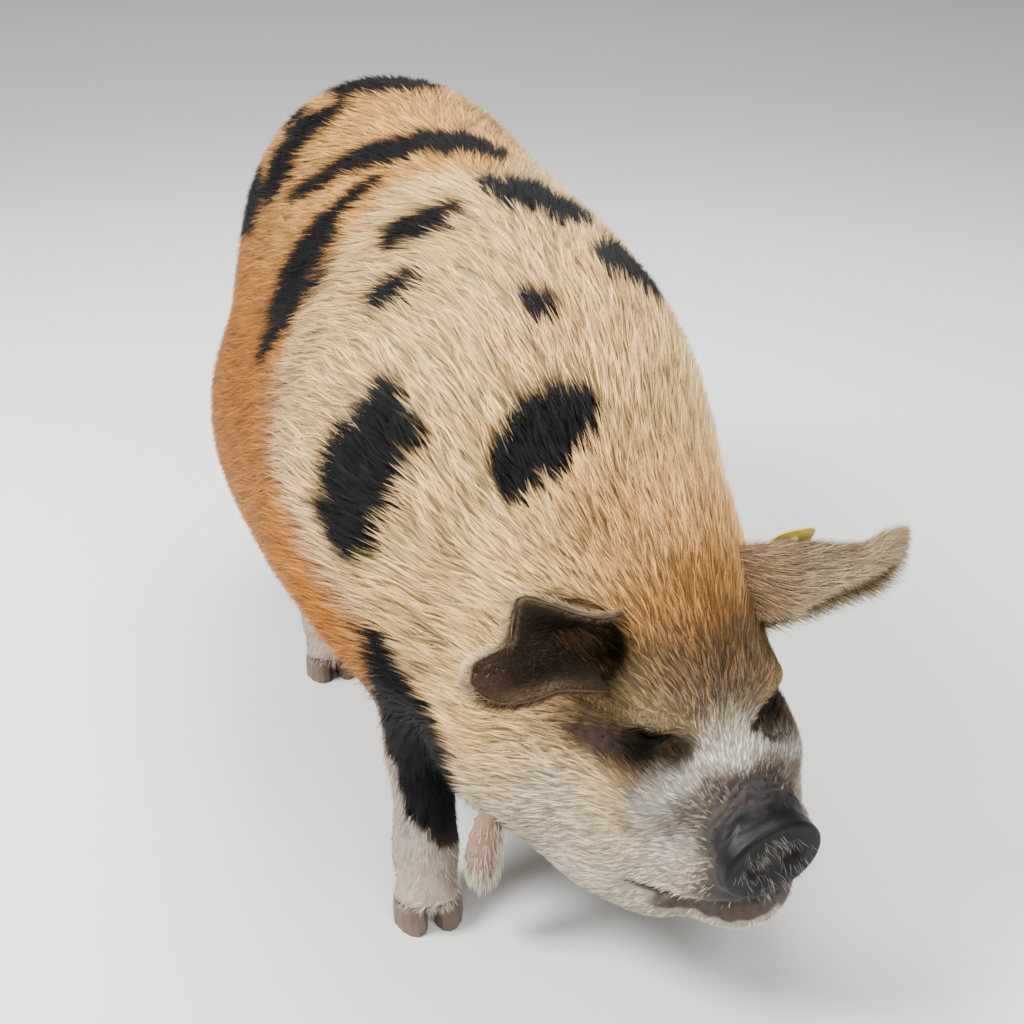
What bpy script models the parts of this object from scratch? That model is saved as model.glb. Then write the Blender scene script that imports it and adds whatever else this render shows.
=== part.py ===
"""A still, life-size model of a domestic pig: a low, heavy, short-legged pig with a hairy coat,
head lowered to graze and turned a little to its left, right front foot one step forward.

Metres, +Z up. The pig faces -Y, its left side is +X, and its hooves stand on Z = 0.
Every piece of flesh is cut from one smooth form, given as named masses that blend into each other.
"""
import math
import random

import bmesh
import bpy
import numpy as np
from mathutils import Vector
from mathutils.bvhtree import BVHTree

# Driving sizes
GAP = 0.0003                 # clear space between two pieces that touch
FLOOR = 0.0
# Mesh cell of each part of the flesh, and the share of its triangles that is kept
TORSO_CELL, TORSO_SHARE = 0.024, 0.30
NECK_CELL, NECK_SHARE = 0.020, 0.36
HEAD_CELL, HEAD_SHARE = 0.0085, 0.175
LEG_CELL, LEG_SHARE = 0.011, 0.17

# Trunk masses: middle and half sizes
BARREL_AT, BARREL = (-0.006, 0.040, 0.360), (0.253, 0.360, 0.220)
RUMP_AT, RUMP = (0.006, 0.350, 0.435), (0.190, 0.240, 0.235)
CHEST_AT, CHEST = (-0.010, -0.190, 0.380), (0.205, 0.220, 0.220)
BACK_AT, BACK = (0.012, 0.120, 0.500), (0.148, 0.420, 0.150)
HAM_OUT, HAM_AT, HAM = 0.110, (0.380, 0.300), (0.085, 0.150, 0.150)
NECK_FROM, NECK_TO = (-0.020, -0.240, 0.400), (0.055, -0.370, 0.345)
NECK_THICK = (0.164, 0.112)
DEWLAP_AT, DEWLAP = (-0.040, -0.345, 0.215), (0.078, 0.100, 0.110)    # fat on the outside of the bent neck
TRUNK_BLEND = 0.10

# Head: its origin is midway between the eyes
HEAD_AT = (0.102, -0.486, 0.262)
HEAD_PITCH, HEAD_YAW, HEAD_ROLL = 6.0, 10.0, -3.0
EYE_OUT, EYE_BACK, EYE_RADIUS = 0.048, 0.017, 0.0125
JOWL_OUT = {-1: 0.078, 1: 0.064}            # the jowl is pressed in on the side that the head turns to
CHEEK_BONE_OUT = {-1: 0.068, 1: 0.056}
DISC_AT, DISC_WIDE, DISC_TALL = (0.0, -0.096, -0.073), 0.050, 0.039
DISH_AT, DISH = (0.0, -0.1345, -0.075), (0.042, 0.0345, 0.031)      # the hollow face of the snout disc
NOSTRIL_OUT, NOSTRIL = 0.019, (0.0075, 0.016, 0.0105)
WATTLE_AT = (0.157, 0.100, -0.135)
EAR_HOLLOW_AT, EAR_HOLLOW = (0.100, 0.042, 0.074), (0.032, 0.034, 0.034)
RIGHT_CUP = ((-0.072, 0.060, 0.066), (-0.100, 0.056, 0.078), (-0.128, 0.052, 0.085), (-0.150, 0.046, 0.088))
RIGHT_CUP_WIDE = (0.018, 0.028, 0.032, 0.028)
MOUTH = ((0.074, -0.020, -0.122), (0.066, -0.052, -0.121), (0.044, -0.082, -0.118), (0.0, -0.102, -0.118))

# Legs: joints from the shoulder or hip down to the foot, and their radii
LEGS = {
    "front_right": ((-0.118, -0.205, 0.330), (-0.108, -0.235, 0.235), (-0.108, -0.298, 0.150),
                    (-0.116, -0.335, 0.060), (-0.121, -0.358, 0.026)),
    "front_left": ((0.118, -0.190, 0.330), (0.104, -0.190, 0.235), (0.100, -0.214, 0.150),
                   (0.100, -0.214, 0.060), (0.101, -0.236, 0.026)),
    "hind_right": ((-0.112, 0.330, 0.330), (-0.125, 0.235, 0.235), (-0.128, 0.215, 0.150),
                   (-0.134, 0.140, 0.060), (-0.135, 0.112, 0.026)),
    "hind_left": ((0.112, 0.360, 0.330), (0.120, 0.330, 0.240), (0.120, 0.400, 0.160),
                  (0.120, 0.365, 0.060), (0.120, 0.342, 0.026)),
}
FRONT_THICK = (0.078, 0.054, 0.036, 0.029, 0.030)
HIND_THICK = (0.092, 0.056, 0.034, 0.029, 0.030)
FOOT_WIDE, FOOT_LONG, FOOT_TALL = 0.029, 0.028, 0.026
LEG_BLEND = 0.045

# Hooves
HOOF_LONG, HOOF_WIDE, HOOF_TALL = 0.050, 0.0255, 0.030
HOOF_HEEL_DROP = 0.012       # how much lower the hoof is at its heel
HOOF_CLEFT = 0.0020          # half of the space between the two hooves of a foot
DEWCLAW_LONG, DEWCLAW_WIDE = 0.022, 0.0068

RNG = random.Random(4)


def vec(*values):
    return np.array(values, float)


def unit(v):
    v = np.asarray(v, float)
    return v / max(np.linalg.norm(v), 1e-12)


def turn_matrix(pitch, yaw, roll):
    """Turn about X (pitch), then Y (roll), then Z (yaw), in degrees."""
    a, b, c = (math.radians(v) for v in (pitch, roll, yaw))
    about_x = np.array([[1, 0, 0], [0, math.cos(a), -math.sin(a)], [0, math.sin(a), math.cos(a)]])
    about_y = np.array([[math.cos(b), 0, math.sin(b)], [0, 1, 0], [-math.sin(b), 0, math.cos(b)]])
    about_z = np.array([[math.cos(c), -math.sin(c), 0], [math.sin(c), math.cos(c), 0], [0, 0, 1]])
    return about_z @ about_y @ about_x


HEAD_TURN = turn_matrix(HEAD_PITCH, HEAD_YAW, HEAD_ROLL)


def head_point(x, y, z):
    return vec(*HEAD_AT) + HEAD_TURN @ vec(x, y, z)


def head_way(x, y, z):
    return HEAD_TURN @ vec(x, y, z)


# Smooth forms: each returns the rough distance of points p to a shape, less than zero inside it

def ellipsoid(p, centre, radii):
    q = p - np.asarray(centre, float)
    r = np.asarray(radii, float)
    k0 = np.sqrt(((q / r) ** 2).sum(-1))
    k1 = np.sqrt(((q / r ** 2) ** 2).sum(-1))
    return k0 * (k0 - 1.0) / np.maximum(k1, 1e-9)


def taper(p, a, b, ra, rb):
    """A round cone with round ends."""
    a, b = np.asarray(a, float), np.asarray(b, float)
    way = b - a
    t = np.clip(((p - a) @ way) / (way @ way), 0, 1)
    return np.sqrt((((p - a) - t[..., None] * way) ** 2).sum(-1)) - (ra + (rb - ra) * t)


def disc(p, centre, wide, tall, half, edge):
    """An oval plate across local Y with a rounded edge."""
    q = p - np.asarray(centre, float)
    across = (np.sqrt((q[:, 0] / wide) ** 2 + (q[:, 2] / tall) ** 2) - 1.0) * min(wide, tall) + edge
    along = np.abs(q[:, 1]) - half + edge
    outside = np.sqrt(np.maximum(across, 0) ** 2 + np.maximum(along, 0) ** 2)
    return outside + np.minimum(np.maximum(across, along), 0) - edge


def join(d, other, k):
    h = np.clip(0.5 + 0.5 * (other - d) / k, 0, 1)
    return other * (1 - h) + d * h - k * h * (1 - h)


def carve(d, hole, k):
    h = np.clip(0.5 - 0.5 * (d + hole) / k, 0, 1)
    return d * (1 - h) - hole * h + k * h * (1 - h)


# The pig's own masses

def trunk_form(p):
    d = ellipsoid(p, BARREL_AT, BARREL)
    d = join(ellipsoid(p, RUMP_AT, RUMP), d, TRUNK_BLEND)
    d = join(ellipsoid(p, CHEST_AT, CHEST), d, TRUNK_BLEND)
    d = join(ellipsoid(p, BACK_AT, BACK), d, 0.12)
    for side in (-1, 1):
        d = join(ellipsoid(p, (side * HAM_OUT, *HAM_AT), HAM), d, 0.07)
    return d


def neck_form(p):
    d = taper(p, NECK_FROM, NECK_TO, *NECK_THICK)
    return join(ellipsoid(p, DEWLAP_AT, DEWLAP), d, 0.06)


def head_form(p):
    q = (p - vec(*HEAD_AT)) @ HEAD_TURN
    d = ellipsoid(q, (0, 0.086, -0.002), (0.098, 0.098, 0.106))                      # brain case
    for side in (-1, 1):
        out = JOWL_OUT[side]
        d = join(ellipsoid(q, (side * out, 0.066, -0.106), (0.062, 0.084, 0.083)), d, 0.05)      # jowl
        d = join(ellipsoid(q, (side * (out - 0.023), 0.006, -0.129), (0.050, 0.072, 0.052)), d, 0.04)  # cheek
        bone = (side * CHEEK_BONE_OUT[side], 0.0, -0.042)
        d = join(ellipsoid(q, bone, (0.028, 0.040, 0.026)), d, 0.03)
    d = join(taper(q, (0, 0.014, -0.045), (0, -0.060, -0.070), 0.066, 0.047), d, 0.045)         # muzzle
    d = join(taper(q, (0, 0.000, -0.119), (0, -0.054, -0.130), 0.058, 0.042), d, 0.03)          # jaw
    for side in (-1, 1):
        d = join(ellipsoid(q, (side * 0.038, -0.055, -0.096), (0.030, 0.036, 0.028)), d, 0.02)   # upper lip
        d = join(ellipsoid(q, (side * 0.037, 0.006, 0.027), (0.033, 0.020, 0.017)), d, 0.025)    # brow
        d = carve(d, ellipsoid(q, (side * 0.057, -0.015, -0.008), (0.027, 0.022, 0.016)), 0.014)
        d = join(ellipsoid(q, (side * 0.049, 0.015, -0.001), (0.0185, 0.0170, 0.0160)), d, 0.007)  # lids
    d = join(ellipsoid(q, (0, -0.062, -0.138), (0.043, 0.038, 0.026)), d, 0.022)                # lower lip
    d = join(ellipsoid(q, (0, -0.074, -0.068), (0.046, 0.028, 0.037)), d, 0.012)                # collar
    d = join(disc(q, DISC_AT, DISC_WIDE, DISC_TALL, 0.011, 0.0055), d, 0.006)                   # snout disc
    return d


def ear_hollow(p, side):
    """The hollow that leads from the opening of an ear into the head."""
    q = (p - vec(*HEAD_AT)) @ HEAD_TURN
    return ellipsoid(q, (side * EAR_HOLLOW_AT[0], *EAR_HOLLOW_AT[1:]), EAR_HOLLOW)


def right_cup(p):
    """The room inside the right ear, which the neck's flesh keeps clear of."""
    q = (p - vec(*HEAD_AT)) @ HEAD_TURN
    rooms = [taper(q, RIGHT_CUP[k], RIGHT_CUP[k + 1], RIGHT_CUP_WIDE[k], RIGHT_CUP_WIDE[k + 1])
             for k in range(len(RIGHT_CUP) - 1)]
    return np.min(rooms, axis=0)


def leg_thick(name):
    return FRONT_THICK if name.startswith("front") else HIND_THICK


def limb_form(p, name):
    joints, thick = LEGS[name], leg_thick(name)
    d = None
    for i in range(len(joints) - 1):
        bone = taper(p, joints[i], joints[i + 1], thick[i], thick[i + 1])
        d = bone if d is None else join(bone, d, 0.02)
    foot = vec(*joints[-1]) + vec(0, -0.006, -0.002)
    return join(ellipsoid(p, foot, (FOOT_WIDE, FOOT_LONG, FOOT_TALL)), d, 0.015)


def whole_form(p):
    """The whole pig but for its ears, tail and hooves."""
    body = join(neck_form(p), trunk_form(p), TRUNK_BLEND)
    body = join(head_form(p), body, 0.05)
    for side in (-1, 1):
        body = carve(body, ear_hollow(p, side), 0.012)
    body = carve(body, right_cup(p), 0.008)
    soft = LEG_BLEND * np.clip((p[:, 2] - 0.13) / 0.09, 0.06, 1.0)
    for name in LEGS:
        body = join(limb_form(p, name), body, soft)
    return body


# From a form to a mesh

def surface_net(values, axes):
    """Quads on the zero surface of a form that is sampled on a grid."""
    inside = values < 0
    shape = tuple(n - 1 for n in values.shape)
    count = np.zeros(int(np.prod(shape)))
    total = np.zeros((len(count), 3))
    quads = []
    for axis in range(3):
        low, high = [slice(None)] * 3, [slice(None)] * 3
        low[axis], high[axis] = slice(0, -1), slice(1, None)
        a, b = values[tuple(low)], values[tuple(high)]
        cross = inside[tuple(low)] != inside[tuple(high)]
        index = np.argwhere(cross)
        va, vb = a[cross], b[cross]
        points = np.stack([axes[k][index[:, k]] for k in range(3)], 1)
        points[:, axis] += va / (va - vb) * (axes[axis][index[:, axis] + 1] - points[:, axis])
        u, v = (axis + 1) % 3, (axis + 2) % 3
        corners = []
        good = np.ones(len(index), bool)
        for du, dv in ((-1, -1), (0, -1), (0, 0), (-1, 0)):
            cell = index.copy()
            cell[:, u] += du
            cell[:, v] += dv
            held = (cell >= 0).all(1) & (cell < shape).all(1)
            cell = np.clip(cell, 0, np.array(shape) - 1)
            flat = np.ravel_multi_index(cell.T, shape)
            np.add.at(count, flat[held], 1)
            np.add.at(total, flat[held], points[held])
            corners.append(flat)
            good &= held
        quad = np.stack(corners, 1)
        turned = va > 0
        quad[turned] = quad[turned][:, ::-1]
        quads.append(quad[good])
    quads = np.concatenate(quads)
    used = np.unique(quads)
    number = np.full(len(count), -1)
    number[used] = np.arange(len(used))
    return total[used] / count[used, None], number[quads]


def slope(form, points):
    step = 1e-4
    f = form(points)
    return f, np.stack([form(points + step * np.eye(3)[k]) - f for k in range(3)], 1) / step


def settle(points, quads, form, rounds=3, ease=0.5):
    """Evens the mesh out and puts each point back on the surface."""
    ring = np.concatenate([quads[:, [k, (k + 1) % 4]] for k in range(4)])
    n = len(points)
    count = np.bincount(ring.ravel(), minlength=n)
    for _ in range(rounds):
        total = np.zeros((n, 3))
        for k in range(3):
            total[:, k] = np.bincount(ring[:, 0], weights=points[ring[:, 1], k], minlength=n)
            total[:, k] += np.bincount(ring[:, 1], weights=points[ring[:, 0], k], minlength=n)
        points = points + ease * (total / count[:, None] - points)
        for _ in range(2):
            f, grad = slope(form, points)
            points = points - (f / np.maximum((grad ** 2).sum(1), 0.2))[:, None] * grad
    return points


def onto(form, point, height=0.0):
    """The nearest place on a form's surface, raised by a height, and the way out there."""
    p = np.asarray(point, float)[None]
    for _ in range(6):
        f, grad = slope(form, p)
        p = p - (f / max((grad ** 2).sum(), 0.2)) * grad
    out = unit(slope(form, p)[1][0])
    return p[0] + out * height, out


# Objects

def paint(name, colour, roughness, metallic=0.0):
    found = bpy.data.materials.get(name)
    if found:
        return found
    material = bpy.data.materials.new(name)
    material.use_nodes = True
    shader = material.node_tree.nodes["Principled BSDF"]
    shader.inputs["Base Color"].default_value = (*colour, 1.0)
    shader.inputs["Roughness"].default_value = roughness
    shader.inputs["Metallic"].default_value = metallic
    return material


def coat():
    return paint("cream coat", (0.72, 0.55, 0.36), 0.75)


def horn():
    return paint("hoof horn", (0.16, 0.12, 0.10), 0.45)


def put(name, points, faces, material):
    mesh = bpy.data.meshes.new(name)
    mesh.from_pydata([tuple(map(float, p)) for p in points], [], [tuple(map(int, f)) for f in faces])
    if material:
        mesh.materials.append(material)
    mesh.shade_smooth()
    obj = bpy.data.objects.new(name, mesh)
    bpy.context.scene.collection.objects.link(obj)
    return obj


def rework(obj, task):
    """Runs a bmesh task on an object's mesh."""
    bm = bmesh.new()
    bm.from_mesh(obj.data)
    task(bm)
    bm.to_mesh(obj.data)
    bm.free()


def triangles(obj):
    rework(obj, lambda bm: bmesh.ops.triangulate(bm, faces=bm.faces[:]))


def odd_edges(mesh):
    """How many edges of a mesh do not join two faces."""
    bm = bmesh.new()
    bm.from_mesh(mesh)
    count = sum(1 for edge in bm.edges if len(edge.link_faces) != 2)
    bm.free()
    return count


def shape_from(name, form, low, high, cell, share):
    """A closed mesh of a form between two corners of a box, thinned to a share of its triangles.

    The grid is moved a little where two folds of the surface would share one cell.
    """
    best, fewest = None, None
    for shift in (0.0, 0.3, 0.6, 0.85):
        axes = [np.arange(low[k] - shift * cell, high[k] + cell, cell) for k in range(3)]
        grid = np.stack(np.meshgrid(*axes, indexing="ij"), -1)
        values = form(grid.reshape(-1, 3)).reshape(grid.shape[:3])
        for k in range(3):
            edge = [slice(None)] * 3
            for end in (0, -1):
                edge[k] = end
                values[tuple(edge)] = np.maximum(values[tuple(edge)], cell * 0.3)
        points, quads = surface_net(values, axes)
        inner = np.ones(len(points), bool)
        for k in range(3):
            inner &= (points[:, k] > axes[k][0] + cell) & (points[:, k] < axes[k][-1] - cell)
        settled = settle(points, quads, form)
        points = np.where(inner[:, None], settled, points)
        obj = put(name, points, quads, coat())
        triangles(obj)
        thin = obj.modifiers.new("thin", "DECIMATE")
        thin.ratio = share
        evaluated(obj)
        triangles(obj)
        count = odd_edges(obj.data)
        if best is None or count < fewest:
            best, fewest, obj = obj, count, best
        if obj:
            drop(obj)
        if fewest == 0:
            break
    best.name = best.data.name = name
    return best


def drop(obj):
    mesh = obj.data
    bpy.data.objects.remove(obj)
    if mesh.users == 0:
        bpy.data.meshes.remove(mesh)


def evaluated(obj):
    """Puts an object's modifiers into its mesh."""
    depsgraph = bpy.context.evaluated_depsgraph_get()
    mesh = bpy.data.meshes.new_from_object(obj.evaluated_get(depsgraph), depsgraph=depsgraph)
    old = obj.data
    obj.modifiers.clear()
    obj.data = mesh
    mesh.name = obj.name
    bpy.data.meshes.remove(old)


def combine(obj, step):
    """Works a Boolean step out, by the second solver where the first leaves an open edge."""
    for solver in ("EXACT", "MANIFOLD"):
        step.solver = solver
        depsgraph = bpy.context.evaluated_depsgraph_get()
        mesh = bpy.data.meshes.new_from_object(obj.evaluated_get(depsgraph), depsgraph=depsgraph)
        closed = odd_edges(mesh) == 0
        bpy.data.meshes.remove(mesh)
        if closed:
            break
    evaluated(obj)


def boolean(obj, other, operation):
    step = obj.modifiers.new(operation.lower(), "BOOLEAN")
    step.operation = operation
    step.object = other
    combine(obj, step)
    drop(other)


def fuse(obj, pieces):
    """Joins loose closed pieces to an object by one union, and keeps the largest closed surface."""
    group = bpy.data.collections.new(obj.name + " pieces")
    bpy.context.scene.collection.children.link(group)
    for piece in pieces:
        bpy.context.scene.collection.objects.unlink(piece)
        group.objects.link(piece)
    step = obj.modifiers.new("union", "BOOLEAN")
    step.operation = "UNION"
    step.operand_type = "COLLECTION"
    step.collection = group
    combine(obj, step)
    for piece in pieces:
        drop(piece)
    bpy.data.collections.remove(group)
    largest(obj)


def largest(obj):
    """Keeps the closed surface that holds the most."""
    def task(bm):
        bm.faces.ensure_lookup_table()
        left = set(bm.faces)
        shells = []
        while left:
            start = left.pop()
            shell, stack = {start}, [start]
            while stack:
                face = stack.pop()
                for edge in face.edges:
                    for near in edge.link_faces:
                        if near in left:
                            left.discard(near)
                            shell.add(near)
                            stack.append(near)
            held = 0.0
            for face in shell:
                a = face.verts[0].co
                for i in range(1, len(face.verts) - 1):
                    held += a.dot(face.verts[i].co.cross(face.verts[i + 1].co)) / 6.0
            shells.append((held, shell))
        keep = max(shells, key=lambda pair: pair[0])[1]
        loose = [face for face in bm.faces if face not in keep]
        bmesh.ops.delete(bm, geom=loose, context="FACES")
    rework(obj, task)


def tidy(obj):
    """Merges doubles, takes out slivers and leaves triangles, as far as the surface stays closed."""
    for small in (3e-5, 1e-5, 3e-6, 1e-6, 1e-7):
        bm = bmesh.new()
        bm.from_mesh(obj.data)
        bmesh.ops.remove_doubles(bm, verts=bm.verts[:], dist=small)
        bmesh.ops.dissolve_degenerate(bm, edges=bm.edges[:], dist=small)
        bmesh.ops.triangulate(bm, faces=bm.faces[:])
        closed = all(len(edge.link_faces) == 2 for edge in bm.edges)
        if closed:
            bm.to_mesh(obj.data)
        bm.free()
        if closed:
            return
    triangles(obj)


def cut_plane(obj, point, out):
    """Takes away what lies on the out side of a plane and closes the cut."""
    def task(bm):
        whole = bm.verts[:] + bm.edges[:] + bm.faces[:]
        bmesh.ops.bisect_plane(bm, geom=whole, dist=1e-5, plane_co=Vector(point),
                               plane_no=Vector(out), clear_outer=True)
        rim = [edge for edge in bm.edges if len(edge.link_faces) == 1]
        bmesh.ops.holes_fill(bm, edges=rim, sides=0)
        bmesh.ops.triangulate(bm, faces=bm.faces[:])
        bmesh.ops.recalc_face_normals(bm, faces=bm.faces[:])
    rework(obj, task)


def grown(obj, by):
    """A copy of a mesh with each face moved out by a distance."""
    copy = put(obj.name + " grown", [v.co for v in obj.data.vertices],
               [tuple(f.vertices) for f in obj.data.polygons], None)

    def task(bm):
        bm.normal_update()
        moves = []
        for vert in bm.verts:
            normal = sum((face.normal * face.calc_area() for face in vert.link_faces), Vector())
            normal.normalize()
            flat = min((abs(normal.dot(face.normal)) for face in vert.link_faces), default=1.0)
            moves.append((vert, normal * by / max(flat, 0.5)))
        for vert, move in moves:
            vert.co += move
    rework(copy, task)
    return copy


def sweep(name, path, sizes, sides, flat_to, material, tip=True):
    """A closed tube along a path. sizes are (half width, half thickness) at each point."""
    path = [np.asarray(p, float) for p in path]
    n = len(path)
    points, faces = [], []
    last = n - 1 if tip else n
    for i in range(last):
        way = unit(path[min(i + 1, n - 1)] - path[max(i - 1, 0)])
        flat = np.asarray(flat_to[i] if isinstance(flat_to, list) else flat_to, float)
        wide = unit(np.cross(way, flat))
        thick = unit(np.cross(wide, way))
        for k in range(sides):
            a = 2 * math.pi * k / sides
            points.append(path[i] + wide * sizes[i][0] * math.cos(a) + thick * sizes[i][1] * math.sin(a))
    for i in range(last - 1):
        for k in range(sides):
            a, b = i * sides + k, i * sides + (k + 1) % sides
            faces.append((a, b, b + sides, a + sides))
    faces.append(tuple(range(sides - 1, -1, -1)))
    top = (last - 1) * sides
    if tip:
        points.append(path[-1])
        faces += [(top + k, top + (k + 1) % sides, len(points) - 1) for k in range(sides)]
    else:
        faces.append(tuple(range(top, top + sides)))
    obj = put(name, points, faces, material)
    rework(obj, lambda bm: bmesh.ops.recalc_face_normals(bm, faces=bm.faces[:]))
    triangles(obj)
    return obj


def smooth_path(corners, n):
    """n points on a smooth curve through a few corners."""
    pts = [np.asarray(c, float) for c in corners]
    pts = [2 * pts[0] - pts[1]] + pts + [2 * pts[-1] - pts[-2]]
    out = []
    spans = len(pts) - 3
    for i in range(n):
        u = i / (n - 1) * spans
        k = min(int(u), spans - 1)
        t = u - k
        a, b, c, d = pts[k:k + 4]
        out.append(0.5 * (2 * b + (c - a) * t + (2 * a - 5 * b + 4 * c - d) * t ** 2
                          + (3 * b - a - 3 * c + d) * t ** 3))
    return out


def ball(name, centre, radii, turn=None, around=12, up=8, material=None):
    """A closed ellipsoid of rings, its poles along local Y."""
    turn = np.eye(3) if turn is None else turn
    points = [vec(0, -1, 0)]
    for i in range(1, up):
        a = math.pi * i / up
        for k in range(around):
            b = 2 * math.pi * k / around
            points.append(vec(math.sin(a) * math.cos(b), -math.cos(a), math.sin(a) * math.sin(b)))
    points.append(vec(0, 1, 0))
    faces = [(0, 1 + (k + 1) % around, 1 + k) for k in range(around)]
    for i in range(up - 2):
        for k in range(around):
            a, b = 1 + i * around + k, 1 + i * around + (k + 1) % around
            faces.append((a, b, b + around, a + around))
    top = 1 + (up - 2) * around
    faces += [(top + k, top + (k + 1) % around, len(points) - 1) for k in range(around)]
    places = [vec(*centre) + turn @ (p * np.asarray(radii, float)) for p in points]
    obj = put(name, places, faces, material)
    rework(obj, lambda bm: bmesh.ops.recalc_face_normals(bm, faces=bm.faces[:]))
    triangles(obj)
    return obj


# Locks of longer hair

LOCK_LONG, LOCK_WIDE, LOCK_THICK = 0.058, 0.0225, 0.0032
LOCK_STEP, LOCK_APART = 0.028, 0.0235       # between rows and between the locks of a row
LOCK_RISE = 0.0080                          # height of a lock's tip over the surface


def lock(form, root, way):
    """One flat lock: sunk at its root, it follows the surface back and rises and tapers to its tip."""
    long = LOCK_LONG * RNG.uniform(0.92, 1.10)
    root, out = onto(form, root)
    along = unit(way - out * (way @ out))
    path, flats = [root - out * 0.006], [out]
    sizes = [(LOCK_WIDE * 0.16, LOCK_THICK * 0.5)]
    leaf = (0.16, 0.38, 0.50, 0.40, 0.0)
    steps = len(leaf) - 1
    for i in range(1, steps + 1):
        t = i / steps
        place, out = onto(form, root + along * long * t, LOCK_RISE * t ** 0.75)
        path.append(place)
        flats.append(out)
        sizes.append((LOCK_WIDE * leaf[i], LOCK_THICK * 0.5 * (1 - 0.5 * t)))
    return sweep("lock", path, sizes, 4, flats, None)


def crest_locks(form, start, way, rows, columns):
    """Staggered rows of locks that lie over one another like tiles, from the brow to the shoulders."""
    made = []
    place, out = onto(form, start)
    way = unit(way)
    for row in range(rows):
        along = unit(way - out * (way @ out))
        across = unit(np.cross(along, out))
        n = columns - row % 2
        for k in range(n):
            off = k - (n - 1) / 2
            spot = place + across * off * LOCK_APART + along * RNG.uniform(-0.003, 0.003)
            made.append(lock(form, spot, along + across * (0.10 * off + RNG.uniform(-0.06, 0.06))))
        place, out = onto(form, place + along * LOCK_STEP)
    return made


# Trunk, neck and head

HEAD_PLANE = (vec(0.070, -0.370, 0.330), unit(vec(-0.10, 0.90, 0.30)))
SHOULDER_PLANE = (vec(0.000, -0.285, 0.400), unit(vec(-0.06, 0.98, 0.16)))
NECK_LOCKS_FROM, NECK_LOCKS_WAY = (0.052, -0.385, 0.470), vec(-0.30, 0.85, 0.50)


LEG_REACH = {"front": (0.078, 0.068, 0.052, 0.050, 0.056), "hind_": (0.105, 0.082, 0.060, 0.050, 0.056)}
LEG_INNER = 0.052            # the blocks that hold the legs start this far from the middle


def leg_block(name, grow=0.0):
    """The block that holds one leg: a hull of discs at its joints, seen from the side."""
    bm = bmesh.new()
    side = 1 if LEGS[name][0][0] > 0 else -1
    for i, (joint, reach) in enumerate(zip(LEGS[name], LEG_REACH[name[:5]])):
        height = joint[2] - 0.055 if i == 0 else joint[2]
        for k in range(18):
            a = 2 * math.pi * (k + 0.5) / 18
            y = joint[1] + (reach + grow) * math.cos(a)
            z = height + (reach + grow) * math.sin(a)
            for x in (side * (LEG_INNER - grow), side * 0.40):
                bm.verts.new((x, y, z))
    bmesh.ops.convex_hull(bm, input=bm.verts[:])
    loose = [vert for vert in bm.verts if not vert.link_faces]
    bmesh.ops.delete(bm, geom=loose, context="VERTS")
    bmesh.ops.recalc_face_normals(bm, faces=bm.faces[:])
    block = put(name + " block", [], [], None)
    bm.to_mesh(block.data)
    bm.free()
    return block


def make_torso():
    torso = shape_from("torso", whole_form, (-0.33, -0.38, 0.05), (0.33, 0.68, 0.76), TORSO_CELL, TORSO_SHARE)
    point, out = SHOULDER_PLANE
    cut_plane(torso, point, -out)
    for name in LEGS:
        boolean(torso, leg_block(name, GAP), "DIFFERENCE")
    largest(torso)
    tidy(torso)
    return torso


def make_neck():
    neck = shape_from("neck", whole_form, (-0.30, -0.50, 0.05), (0.36, -0.16, 0.66), NECK_CELL, NECK_SHARE)
    point, out = SHOULDER_PLANE
    cut_plane(neck, point - out * GAP, out)
    point, out = HEAD_PLANE
    cut_plane(neck, point, -out)
    for name in ("front_right", "front_left"):
        boolean(neck, leg_block(name, GAP), "DIFFERENCE")
    largest(neck)
    tidy(neck)
    fuse(neck, crest_locks(whole_form, NECK_LOCKS_FROM, NECK_LOCKS_WAY, 2, 4))
    tidy(neck)
    return neck


def make_leg(name):
    joints = LEGS[name]
    ys = [j[1] for j in joints]
    side = 1 if joints[0][0] > 0 else -1
    low = (0.03 if side > 0 else -0.31, min(ys) - 0.12, -0.03)
    high = (0.31 if side > 0 else -0.03, max(ys) + 0.15, 0.44)
    leg = shape_from(name + "_leg", whole_form, low, high, LEG_CELL, LEG_SHARE)
    boolean(leg, leg_block(name), "INTERSECT")
    largest(leg)
    return leg


# Hooves and dewclaws

def foot_place(name):
    x, y, _ = LEGS[name][-1]
    return vec(x, y - 0.006, 0.0)


def hoof_top(y):
    """Height of the hairline over the sole: lower at the heel. y runs from toe to heel."""
    return HOOF_TALL - HOOF_HEEL_DROP * (y + HOOF_LONG / 2) / HOOF_LONG


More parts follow.
